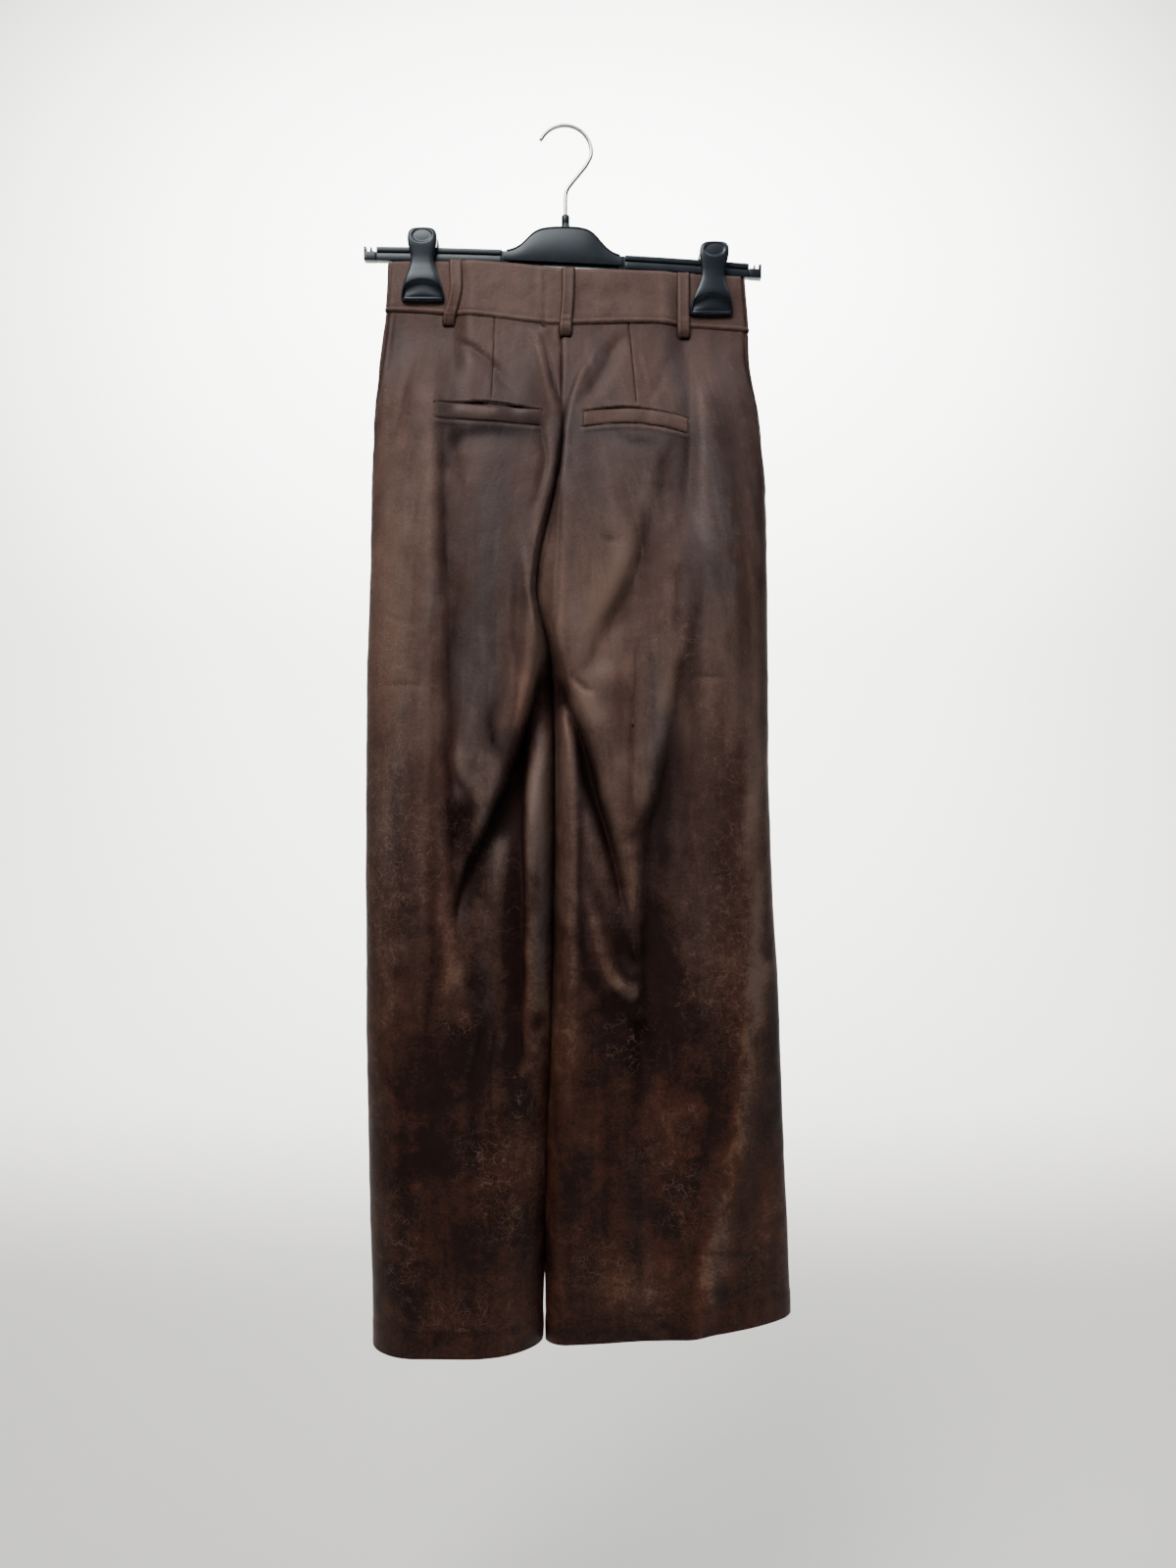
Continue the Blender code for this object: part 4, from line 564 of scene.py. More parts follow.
def leatherMaterial(name, wearAndPaintedLight, lift=0.0):
    # the second argument is how strongly the distressed patches with their painted light and shade, the darkening
    # lower down and the veins show, 0 to 1; lift makes the whole paler
    material, tree, shader = newMaterial(name, leather["sockets"])
    place = node(tree, "ShaderNodeUVMap", uv_map="cloth").outputs["UV"]
    crest, patches, paintedSheen, crackle = (node(tree, "ShaderNodeAttribute", attribute_name=mark).outputs["Fac"]
                                     for mark in ("crest", "patch", "paintedSheen", "crackle"))

    def noise(size, detail=4.0, rough=0.55, distortion=0.0, at=None):
        return node(tree, "ShaderNodeTexNoise", {
            "Vector": at or place, "Scale": 1000.0 / size, "Detail": detail, "Roughness": rough,
            "Distortion": distortion}).outputs["Fac"]

    def maths(operation, a, b, clamp=False):
        return node(tree, "ShaderNodeMath", {0: a, 1: b}, operation=operation, use_clamp=clamp).outputs[0]

    def plus(total, *others):
        for other in others:
            total = maths("ADD", total, other)
        return total

    def less(a, b):
        return maths("SUBTRACT", a, b)

    def times(a, b):
        return maths("MULTIPLY", a, b)

    def ramp(value, low, high, start=0.0, end=1.0, kind="SMOOTHSTEP"):
        return node(tree, "ShaderNodeMapRange", {
            "Value": value, "From Min": low, "From Max": high, "To Min": start, "To Max": end},
            interpolation_type=kind).outputs[0]

    def line(value, low, high):
        return ramp(value, low, high, kind="LINEAR")

    def vector(operation, a, b):
        key = "Scale" if operation == "SCALE" else 1
        return node(tree, "ShaderNodeVectorMath", {0: a, key: b}, operation=operation).outputs[0]

    def blend(factor, a, b):
        a, b = ((*value, 1.0) if isinstance(value, tuple) else value for value in (a, b))
        return node(tree, "ShaderNodeMix", {0: factor, 6: a, 7: b}, data_type="RGBA").outputs[2]

    down = node(tree, "ShaderNodeSeparateXYZ", {0: place}).outputs["Y"]
    lower, belowSheen = ramp(down, *leather["wearAndFalloff"]), ramp(down, *leather["sheenFade"])
    drawn = vector("MULTIPLY", place, (1.0, 0.16, 1.0))
    streak = noise(leather["streakSize"], 4.0, 0.6, 0.4, drawn)
    patch = noise(leather["patchSize"], 3.0, 0.6, 0.5)
    mottle = noise(leather["mottleSize"], 9.0, 0.80, 0.7)
    speck = noise(leather["speckSize"], 3.0, 0.75)
    tone = plus(times(ramp(patch, 0.30, 0.72), 0.35), times(line(mottle, 0.30, 0.70), 0.65))
    spread = plus(0.08 + 0.12 * wearAndPaintedLight, times(lower, 0.52 * wearAndPaintedLight))
    grit = plus(0.12 + 0.16 * wearAndPaintedLight, times(lower, 0.50 * wearAndPaintedLight))
    calm = plus(times(less(tone, 0.5), spread), leather["tone"] + lift,
                times(less(streak, 0.5), leather["streaks"] * wearAndPaintedLight), times(less(speck, 0.5), grit))
    # darker lower down, partly as distress and partly as painted shade where the light falls off; paler on crests as
    # rubbing and darker in hollows as painted shade; the patch mark brings distressed patches with painted light and
    # shade
    calm = plus(less(calm, times(lower, 0.20 * wearAndPaintedLight)), times(crest, leather["crests"]),
                times(patches, leather["patches"] * wearAndPaintedLight))
    # the upper legs take the greyer upper colours as painted sheen, fading out down the leg
    colour = blend(line(calm, 0.08, 0.50), leather["dark"], blend(belowSheen, leather["upperSheenMid"], leather["mid"]))
    colour = blend(line(calm, 0.50, 0.92), colour, blend(belowSheen, leather["upperSheenPale"], leather["pale"]))
    # greyer where sheen is painted and redder where shade is painted, with random swings of hue as well
    hue = plus(paintedSheen, times(less(noise(34.0, 2.0, 0.5, 0.3, drawn), 0.5), 1.8 * wearAndPaintedLight))
    grey = vector("SCALE", leather["greyTint"], node(tree, "ShaderNodeRGBToBW", {0: colour}).outputs[0])
    colour = blend(times(line(hue, 0.0, 1.0), leather["greyShare"]), colour, grey)
    colour = blend(line(hue, 0.0, -0.7), colour, vector("MULTIPLY", colour, leather["redTint"]))
    # veins of crackle, on bent lines
    bent = node(tree, "ShaderNodeTexNoise", {"Vector": place, "Scale": 1000.0 / 26, "Detail": 3.0}).outputs["Color"]
    bentPlace = vector("ADD", place, vector("SCALE", vector("SUBTRACT", bent, (0.5, 0.5, 0.5)), 0.034))
    broken = ramp(noise(11.0, 4.0, 0.7), 0.42, 0.58)
    cluster = maths("ADD", ramp(noise(120.0, 2.0, 0.5), 0.52, 0.68, 0.0, 0.40), crackle, True)

    def veins(size, width):
        cells = node(tree, "ShaderNodeTexVoronoi", {
            "Vector": bentPlace, "Scale": 1000.0 / size, "Randomness": 1.0}, feature="DISTANCE_TO_EDGE")
        return times(less(1.0, ramp(cells.outputs["Distance"], 0.0, width)), times(cluster, broken))

    fine = times(veins(*leather["fineVeins"]), leather["fineShare"])
    vein = times(maths("MAXIMUM", fine, veins(*leather["coarseVeins"])), wearAndPaintedLight)
    colour = blend(times(vein, leather["veinShare"]), colour, leather["vein"])
    shine = plus(leather["roughness"], times(less(mottle, 0.5), 0.20), ramp(patches, -0.50, -0.12, 0.24, 0.0))
    pebble = node(tree, "ShaderNodeTexVoronoi", {
        "Vector": place, "Scale": 1000.0 / leather["grainSize"], "Randomness": 1.0}, feature="SMOOTH_F1")
    height = plus(times(pebble.outputs["Distance"], 0.20), times(vein, leather["veinDepth"]),
                  times(noise(5.0, 4.0, 0.65), 0.55), times(noise(18.0, 3.0, 0.6), 1.1))
    bump = node(tree, "ShaderNodeBump", {
        "Height": height, "Strength": leather["bump"], "Distance": leather["bumpDepth"]})
    for value, socket in ((colour, "Base Color"), (shine, "Roughness"), (bump.outputs[0], "Normal")):
        tree.links.new(value, shader.inputs[socket])
    return material


# Plain finishes: cloud is the scale and detail of the uneven gloss, fine those of the bump with its strength and depth
finishes = {
    "hangerPlastic": {"cloud": (60.0, 4.0), "gloss": (0.26, 0.40), "fine": (1400.0, 2.0, 0.10, 0.0002), "sockets": {
        "Base Color": (0.0064, 0.0085, 0.0128, 1), "Specular IOR Level": 0.31,
        "Specular Tint": (0.84, 0.93, 1.0, 1.0)}},
    "hookSteel": {"cloud": (500.0, 3.0), "gloss": (0.16, 0.30), "sockets": {
        "Base Color": (0.60, 0.60, 0.60, 1), "Metallic": 1.0}},
    "brownThread": {"cloud": (900.0, 2.0), "gloss": (0.45, 0.65), "sockets": {
        "Base Color": (0.035, 0.017, 0.012, 1)}},
}


def plainMaterial(name):
    finish = finishes[name]
    material, tree, shader = newMaterial(name, finish["sockets"])
    place = node(tree, "ShaderNodeTexCoord").outputs["Object"]

    def noise(scale, detail):
        return node(tree, "ShaderNodeTexNoise", {"Vector": place, "Scale": scale, "Detail": detail}).outputs["Fac"]

    low, high = finish["gloss"]
    tone = node(tree, "ShaderNodeMapRange", {"Value": noise(*finish["cloud"]), "To Min": low, "To Max": high})
    tree.links.new(tone.outputs[0], shader.inputs["Roughness"])
    if "fine" in finish:
        scale, detail, strength, depth = finish["fine"]
        bump = node(tree, "ShaderNodeBump", {"Height": noise(scale, detail), "Strength": strength, "Distance": depth})
        tree.links.new(bump.outputs[0], shader.inputs["Normal"])
    return material


panelLeather = leatherMaterial("panelLeather", 1.0)
trimLeather = leatherMaterial("trimLeather", 0.60, 0.13)
hangerPlastic, hookSteel, brownThread = (plainMaterial(name) for name in finishes)


def dress(piece, material, target=None):
    piece.data.materials.clear()
    piece.data.materials.append(material)
    if target:
        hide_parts(target)
    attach(piece, "root")
    return piece


def trimPiece(name, points, cloth, facing, marks, wall, target):
    # a trim piece from rows of points, seen from the back (facing -1) or the front (1)
    outward = np.zeros_like(points) + (0, facing, 0)
    return dress(makeSheet(name, points, cloth, outward, marks, wall), trimLeather, target)


def hangerPiece(piece, target):
    return dress(piece, hangerPlastic, target)


# Leg panels
panels = {
    "wall": 1.3, "backPitch": 3.0, "frontPitch": 3.4, "backColumns": 108, "frontColumns": 84,
    "seamRoll": 1.0, "seamReach": 1.7, "hemStitch": 24.0, "hemStep": 0.45, "dartDepth": 0.9, "mouthDepth": 3.4,
    "wave": 0.5, "waveSize": 34.0, "ripple": 0.22, "rippleSize": 13.0, "pucker": 0.45, "puckerSize": 11.0,
    "frontPaintedShade": 0.12, "frontCrackle": 0.6,
}
darts = {
    -1: {"x": (-66.9, -69.2), "drop": (196.9, 275.0)},
    1: {"x": (62.1, 69.0), "drop": (196.9, 279.0)},
}
# the welts' tones are painted light: the left welt darker and greyer as painted shade, the right one lighter as
# painted light where it catches the lamp; uneven is random tone
welts = {
    "left": {"ends": ((-121.6, 274.4), (-21.6, 282.4)), "bow": 0.6, "height": 15.6, "gape": 4.2, "dip": 0.56,
             "tone": -0.44, "paintedSheen": 0.5, "uneven": 0.5},
    "right": {"ends": ((18.0, 285.0), (117.6, 290.0)), "bow": 6.5, "height": 14.6, "gape": 1.9, "dip": 0.36,
              "tone": -0.06, "paintedSheen": 0.0, "uneven": 0.2},
    "columns": 60, "wall": 0.5,
}
# the patches are distressed, with painted light and shade among them, and the greyer stretches are painted sheen
spots = {  # patches, greyer stretches and cracks of each kind of piece
    "back": (backWearAndPaintedLight, backPaintedSheen, backCracks), "front": (frontPatches, frontPaintedSheen, frontCracks),
    "backBand": (bandPatchesAndPaintedShadows, (), ()), "frontBand": (frontBandPatches, (), ()),
}
grids = {}


def weltTop(side, x):
    # drop of a welt's upper edge at an x, and how far the pocket gapes there
    spec = welts[side]
    (x0, drop0), (x1, drop1) = spec["ends"]
    across = np.clip((x - x0) / (x1 - x0), 0, 1)
    top = drop0 + (drop1 - drop0) * across - spec["bow"] * np.sin(math.pi * across)
    gape = spec["gape"] * hump(across - spec["dip"], 0.30) + 0.5
    return top, gape * (ease((x - x0) / 1.5) * ease((x1 - x) / 1.5))


def fitOut(grid, part, detail):
    # move a grid's points out by detail and keep what other pieces need
    grid["points"] = grid["points"] + outwardOf(grid["points"], grid["half"]) * detail[..., None]
    grid["outward"] = outwardOf(grid["points"], grid["half"])
    bend, fine = (np.sum((grid["points"] - softened(grid["points"], times)) * grid["outward"], axis=2)
                  for times in (24, 4))
    onBack = part.startswith("back")
    patch, paintedSheen, crackle = (patchAt(table, grid["x"], grid["drop"]) for table in spots[part])
    # the patch mark darkens deep folds as painted shade, and the front panels as a whole by a painted shade; crest is
    # paler on ridges as rubbing and darker in hollows as painted shade
    grid["marks"] = {
        "crest": np.clip(bend / 2.0, -1, 1) * 0.7 + np.clip(fine / 0.35, -1, 1) * 0.3,
        "patch": patch - (0.55 if onBack else 0.30) * grid["hollow"] - (0 if onBack else panels["frontPaintedShade"]),
        "paintedSheen": paintedSheen, "crackle": crackle * (1.0 if onBack else panels["frontCrackle"]),
    }


def marksOf(patch, paintedSheen=0.0):
    # the marks of a small piece, from how pale and how grey it is
    nought = np.zeros(patch.shape)
    return {"crest": nought, "patch": patch, "paintedSheen": paintedSheen + nought, "crackle": nought}


def runOf(points):
    steps = np.linalg.norm(np.diff(points, axis=1), axis=2)
    return np.concatenate([np.zeros((len(points), 1)), np.cumsum(steps, axis=1)], axis=1)


def laidOut(grid, along):
    # each point's place on the flat cloth
    return np.stack([grid["width"] + along, grid["drop"]], axis=2)


for half, side in sides:
    for part in ("back", "front"):
        rows = int((form["hemDrop"] - form["bandDrop"]) / panels[part + "Pitch"])
        dart, mouthRows = None, ()
        if part == "back":  # more rows where the pocket mouths and welt feet lie
            dart, mouthRows = darts[half], np.concatenate([np.arange(258, 286, 1.2), np.arange(287, 307, 1.5)])
        grid = clothGrid(half, part, rows, panels[part + "Columns"], "bandSeam", "hem", dart, mouthRows)
        x, drop, run = grid["x"], grid["drop"], runOf(grid["points"])
        toEdge = np.minimum(run, run[:, -1:] - run)
        toTop = drop - read(form["levels"], "bandSeam", x)
        toHem = read(form["levels"], "hem", x) - drop
        detail = -panels["seamRoll"] * hump(toEdge, panels["seamReach"])
        detail += 0.35 * hump(toEdge - 4.0, 2.2) - panels["seamRoll"] * hump(toTop, panels["seamReach"])
        detail += panels["hemStep"] * ease((panels["hemStitch"] - toHem) / 2.5)
        detail += panels["wave"] * waver(run + 300 * half, drop * 0.7, panels["waveSize"], 11)
        detail += panels["ripple"] * waver(run, drop, panels["rippleSize"], 12)
        pucker = waver(drop + 200 * half, 0 * drop, panels["puckerSize"], 17)
        detail += panels["pucker"] * pucker * hump(toEdge, 9.0) * ease(toEdge / 3.0)
        if dart:
            aside = x - np.interp(drop, dart["drop"], dart["x"])
            shown = 1 - ease((drop - dart["drop"][1] + 8) / 8)
            detail += shown * (0.10 * hump(np.abs(aside) - 3.2, 2.0) - panels["dartDepth"] * hump(aside, 0.9))
            mouth, gape = weltTop(side, x)
            opening = ease(gape / 0.5)
            foot = drop - mouth - welts[side]["height"]
            slot = ease((drop - mouth + gape) / 0.9) * ease((mouth + 3.5 - drop) / 1.5)
            detail -= panels["mouthDepth"] * opening * slot
            detail += opening * (0.6 * hump(foot - 4.0, 2.2) - 1.1 * hump(foot - 0.6, 1.1))
        fitOut(grid, part, detail)
        grid["marks"]["patch"] -= 0.40 * hump(toTop, 3.0) + 0.16 * hump(toEdge, 2.0)
        grid["cloth"] = laidOut(grid, 500 * half + (0 if part == "back" else 900))
        name = part + side.capitalize()
        piece = makeSheet(name, grid["points"], grid["cloth"], grid["outward"], grid["marks"], panels["wall"])
        grid["piece"] = dress(piece, panelLeather, part + "_" + side)
        grid["flat"] = (float(run[:, -1].max()) * mm, float(run[:, -1].mean()) * mm)
        grids[name] = grid
print("leg panels made")

# Waistband
band = {"wall": 2.2, "rows": 24, "backColumns": 78, "frontColumns": 66, "roll": 1.0, "ridge": 0.55, "endRoll": 0.9,
        "wave": 0.7, "waveSize": 26.0, "ripple": 0.25, "rippleSize": 9.0, "creaseX": -19.3, "creaseDepth": 0.8,
        "flatHeight": 0.054, "height": 0.051}
for half, side in sides:
    for part in ("back", "front"):
        grid = clothGrid(half, part, band["rows"], band[part + "Columns"], "bandTop", "bandSeam")
        x, drop, run = grid["x"], grid["drop"], runOf(grid["points"])
        toSeam = read(form["levels"], "bandSeam", x) - drop
        toTop = drop - read(form["levels"], "bandTop", x)
        toStart, toEnd = run, run[:, -1:] - run
        detail = -band["roll"] * hump(toSeam, 1.2) + band["ridge"] * hump(toSeam - 2.0, 1.3)
        detail -= 0.35 * hump(toSeam - 4.4, 0.9) + band["roll"] * hump(toTop, 1.1)
        detail -= band["endRoll"] * hump(toEnd if part == "back" else toStart, 1.2)
        if part == "front":
            detail -= band["endRoll"] * hump(toEnd, 1.2)
        wavy = band["wave"] * waver(run + 90 * half, drop * 0.5, band["waveSize"], 21)
        wavy += band["ripple"] * waver(run, drop, band["rippleSize"], 22)
        detail += (1 - pinchAt(x, drop)) * wavy
        detail -= band["creaseDepth"] * hump(x - band["creaseX"], 1.8) * ease(toTop / 12)
        fitOut(grid, part + "Band", detail)
        grid["marks"]["patch"] -= 0.45 * hump(toSeam, 1.6) + 0.20 * hump(toSeam - 4.4, 0.9)
        grid["cloth"] = laidOut(grid, 420 * half + (60 if part == "back" else 1500))
        grids[part + "Band" + side.capitalize()] = grid


def joined(left, right):
    return np.concatenate([left[:, :0:-1], right[:, 1:]], axis=1)


def makeBand(name, points, cloth, outward, marks, target):
    piece = makeSheet(name, points, cloth, outward, marks, band["wall"])
    dress(piece, trimLeather, target)


left, right = grids["backBandLeft"], grids["backBandRight"]
makeBand("bandBack", *(joined(left[key], right[key]) for key in ("points", "cloth", "outward")),
         {mark: joined(left["marks"][mark], right["marks"][mark]) for mark in left["marks"]}, "waistband_back")
for side in ("Left", "Right"):
    makeBand("bandFront" + side, *(grids["frontBand" + side][key] for key in ("points", "cloth", "outward", "marks")),
             "waistband_front_" + side.lower())
print("waistband made")


# Laying pieces on the cloth
def spot(grid, value, drop, by="x"):
    # the point on a grid at a drop and an x, or a distance from the side seam, with the way out
    sign = grid["half"] if by == "x" else 1
    keys = sign * grid[by]
    usable = grid["facing"] > 0.12 if grid["facing"].mean() > 0 else grid["facing"] < -0.12
    x = value if by == "x" else grid["x"][len(grid["x"]) // 2].mean()
    for _ in range(2):
        top, bottom = read(form["levels"], grid["upper"], x), read(form["levels"], grid["lower"], x)
        row = float(np.interp((drop - top) / (bottom - top), grid["shares"], np.arange(len(grid["shares"]))))
        low = min(int(row), len(keys) - 2)
        found = []
        for line in (low, low + 1):
            pick = np.flatnonzero(usable[line]) if by == "x" else np.arange(keys.shape[1])
            order = pick if keys[line][pick[-1]] > keys[line][pick[0]] else pick[::-1]
            column = float(np.interp(sign * value, keys[line][order], order))
            first = min(int(column), keys.shape[1] - 2)
            share = column - first
            found.append([grid[key][line][first] * (1 - share) + grid[key][line][first + 1] * share
                          for key in ("points", "outward")])
        share = row - low
        point, outward = (found[0][k] * (1 - share) + found[1][k] * share for k in (0, 1))
        if by != "x":
            x = float(point[0])
    return point, outward / np.linalg.norm(outward)


def clothSpot(part, x, drop):
    # the same on the back or the front, whichever panel or band lies there
    side = "Left" if x < read(form["middle"], "x", drop) else "Right"
    kind = part + "Band" if drop < read(form["levels"], "bandSeam", x) else part
    return spot(grids[kind + side], x, drop)


def layRows(rows, columns, place):
    # rows of points and of their places on the flat cloth, from place(row, column)
    pairs = [[place(row, column) for column in columns] for row in rows]
    return (np.array([[pair[k] for pair in line] for line in pairs]) for k in (0, 1))


# Back pocket welts, each from its upper edge down: (share of the height, how far out)
weltProfile = [(0.07, -1.1), (0.0, -0.3), (0.012, 0.5), (0.06, 1.25), (0.16, 1.55), (0.34, 1.6), (0.52, 1.5),
               (0.70, 1.35), (0.86, 1.1), (0.95, 0.75), (1.0, 0.1), (0.985, -0.9)]
laid = {}


def weltPlace(row, across):
    down, out = row
    (x0, _), (x1, _) = spec["ends"]
    x = x0 + (x1 - x0) * across
    top, gape = (float(value) for value in weltTop(side, x))
    end = min(across, 1 - across) * (x1 - x0)
    low = clothSpot("back", x, top + spec["height"] + 1.5)[0]
    high = clothSpot("back", x, top - gape - 3.0)[0]
    share = (3.0 + gape + spec["height"] * down) / (spec["height"] + 4.5 + gape)
    base = high + (low - high) * share
    lift = 0.5 + out * (0.45 + 0.55 * float(ease(end / 2.5)))
    lip = 0.22 * float(waver(x, down * 20, 8.0, 31)) * float(ease(end / 5))
    sag = 0.3 * gape
    return (x, base[1] - lift - lip, -(top + sag + (spec["height"] - sag) * down)), (x, top + spec["height"] * down)


for _, side in sides:
    spec = welts[side]
    points, flat = layRows(weltProfile, np.linspace(0, 1, welts["columns"]), weltPlace)
    patch = spec["tone"] + spec["uneven"] * waver(flat[..., 0], flat[..., 1], 14.0, 33)
    laid["back" + side.capitalize()] = [trimPiece(
        "welt" + side.capitalize(), points, flat + (2000, 0), -1, marksOf(patch, spec["paintedSheen"]),
        welts["wall"], "pocket_welt_" + side)]
print("welts made")

# Belt loops: piece, node, (distance down, x) along the strap, length of the toe, and which way it faces
loops = {
    "width": 10.4, "wall": 2.0, "standOff": 1.5, "rows": 44, "underWall": 0.75, "toeStart": 0.955,
    "tone": (-0.04, -0.28),
    "places": [
        ("loopBackLeft", "belt_loop_back_left", [(-0.5, -104.6), (24, -104.0), (38, -106.0), (58, -111.5)], 9.0, -1),
        ("loopBackMiddle", "belt_loop_back_middle", [(-0.5, 4.0), (30, 3.4), (62, 1.2)], 10.5, -1),
        ("loopBackRight", "belt_loop_back_right", [(-0.5, 114.6), (30, 114.6), (60, 114.9)], 9.5, -1),
        ("loopFrontLeft", "belt_loop_front_left", [(-0.5, -74.0), (60, -76.0)], 9.0, 1),
        ("loopFrontRight", "belt_loop_front_right", [(-0.5, 76.0), (60, 78.0)], 9.0, 1),
    ],
    # half of the strap: (share of the half width, how far out)
    "profile": [(1.0, -1.5), (0.94, -0.5), (0.84, 0.0), (0.72, 0.28), (0.58, 0.05), (0.4, -0.1), (0.0, -0.08)],
}
strap = [(-across, bead) for across, bead in loops["profile"]] + loops["profile"][-2::-1]
railColumns = (2, len(strap) - 3)
loopRails = []
for name, target, path, toe, facing in loops["places"]:
    downs, places = np.array(path, float).T
    top = float(read(form["levels"], "bandTop", places[0]))
    length = float(read(form["levels"], "bandSeam", places[-1])) + toe - top
    steps = np.concatenate([[-0.012, -0.006], np.linspace(0, 1, loops["rows"])])
    points, cloth = [], []
    for down in steps:
        middle = float(smoothRead(downs, places, down * length))
        drop = top + length * down
        base = max(drop, top + 0.6)
        out = max(facing * clothSpot("back" if facing < 0 else "front", middle + a, min(base + b, top + length))[0][1]
                  for a in (-4.5, 0, 4.5) for b in (-2.5, 0, 2.5))
        arch = math.sin(math.pi * min(max(down, 0), 1))
        rise = 0.6 + loops["wall"] + loops["standOff"] * arch ** 0.7
        if down < 0:
            rise -= 1.6 * (-down / 0.012)
        pinch = 1 + 0.10 * math.exp(-((down - 1) / 0.05) ** 2) - 0.06 * arch
        pinch *= 1 - 0.16 * float(ease((down - loops["toeStart"]) / (1 - loops["toeStart"])))
        xs = [middle + across * loops["width"] / 2 * pinch for across, _ in strap]
        points.append([(x, facing * (out + rise + bead), -drop) for x, (_, bead) in zip(xs, strap)])
        cloth.append([(x + 2600, drop) for x in xs])
    rails = np.array(points)
    loopRails += [rails[3:-1, column] + (0, facing * 0.25, 0) for column in railColumns]
    # the toe folds under itself
    under, thick = rails[-1], loops["wall"] * loops["underWall"]
    for angle in (0.35, 0.75, 1.2, 1.57):
        points.append(under - (0, facing * thick * (1 - math.cos(angle)), thick * math.sin(angle)))
        cloth.append([(x + 2600, drop + 1) for x, drop in cloth[-1]])
    acrosses = np.abs([across for across, _ in strap])
    # painted shade darkens the toe where it turns under; painted highlight lightens the two raised rails and painted
    # shade darkens the turned-down edges
    paintedToeShade = loops["tone"][facing > 0] - 0.55 * ease((np.concatenate([steps, [1.0] * 4]) - 0.84) / 0.14)
    edgeLightAndShade = 0.22 * hump(acrosses - 0.76, 0.10) - 0.30 * (acrosses > 0.92)
    trimPiece(name, np.array(points), np.array(cloth), facing, marksOf(paintedToeShade[:, None] + edgeLightAndShade),
              loops["wall"] * 0.7, target)
print("belt loops made")

# Front pocket mouths and fly: each profile is (share of the width, how far out)
pocketEdge = {
    "topDrop": {"left": 190.0, "right": 201.0}, "footDrop": 346.0, "topFromSeam": 46.0, "footFromSeam": 2.2,
    "width": 12.0, "wall": 0.5, "rows": 60, "stitchFrom": 4.5, "tone": -0.28,
    "profile": [(0.0, -0.9), (0.0, 0.0), (0.06, 0.9), (0.2, 1.25), (0.5, 1.2), (0.8, 1.0), (0.95, 0.6), (1.0, -0.6)],
}
fly = {
    "left": -1.6, "width": 33.0, "wall": 0.5, "top": 198.0, "foot": 352.0, "rows": 60, "tone": -0.28,
    "profile": [(0.0, -0.7), (0.0, 0.0), (0.03, 0.8), (0.12, 1.3), (0.4, 1.3), (0.7, 1.2), (0.9, 1.0), (0.98, 0.6),
                (1.0, -0.6)],
}


def edgeSpot(down, across):
    # down and across the folded edge of a front pocket
    topDrop = pocketEdge["topDrop"][side]
    drop = topDrop + (pocketEdge["footDrop"] - topDrop) * down
    nearest = pocketEdge["topFromSeam"] + (pocketEdge["footFromSeam"] - pocketEdge["topFromSeam"]) * down
    return *spot(grids["front" + side.capitalize()], nearest + across, drop, by="width"), drop


def edgePlace(down, column):
    point, outward, drop = edgeSpot(down, pocketEdge["width"] * column[0])
    return point + outward * (0.5 + column[1]), (3200 + 60 * half + column[0] * 12, drop)


def unevenMarks(flat, seed, tone):
    return marksOf(tone + 0.16 * waver(flat[..., 0], flat[..., 1], 16.0, seed))


frontLinesSewn = []
for half, side in sides:
    downs = np.linspace(0, 1, pocketEdge["rows"])
    points, flat = layRows(downs, pocketEdge["profile"], edgePlace)
    laid["front" + side.capitalize()] = [trimPiece(
        "pocketEdge" + side.capitalize(), points, flat, 1, unevenMarks(flat, 51, pocketEdge["tone"]),
        pocketEdge["wall"], "front_pocket_edge_" + side)]
    rail = [edgeSpot(down, pocketEdge["stitchFrom"]) for down in downs]
    frontLinesSewn.append(np.array([point + outward * 1.9 for point, outward, _ in rail]))


def flySpot(x, drop):
    return clothSpot("front", max(x, float(read(form["middle"], "x", drop)) + 0.4), drop)[0][1]


def flyPlace(down, column):
    across, out = column
    drop = fly["top"] + (fly["foot"] - fly["top"]) * down
    x = fly["left"] + fly["width"] * math.sqrt(max(0.004, 1 - max(0.0, (down - 0.72) / 0.281) ** 2)) * across
    return (x, flySpot(x, drop) + 0.6 + out, -drop), (3600 + x, drop)


points, flat = layRows(np.linspace(0, 1, fly["rows"]), fly["profile"], flyPlace)
laid["frontRight"].append(trimPiece("flyFlap", points, flat, 1, unevenMarks(flat, 52, fly["tone"]), fly["wall"],
                                    "fly_flap"))
print("pocket mouths and fly made")

# Stitching
stitching = {"pitch": 2.9, "length": 2.2, "radius": 0.27, "uneven": 0.10, "seed": 4}


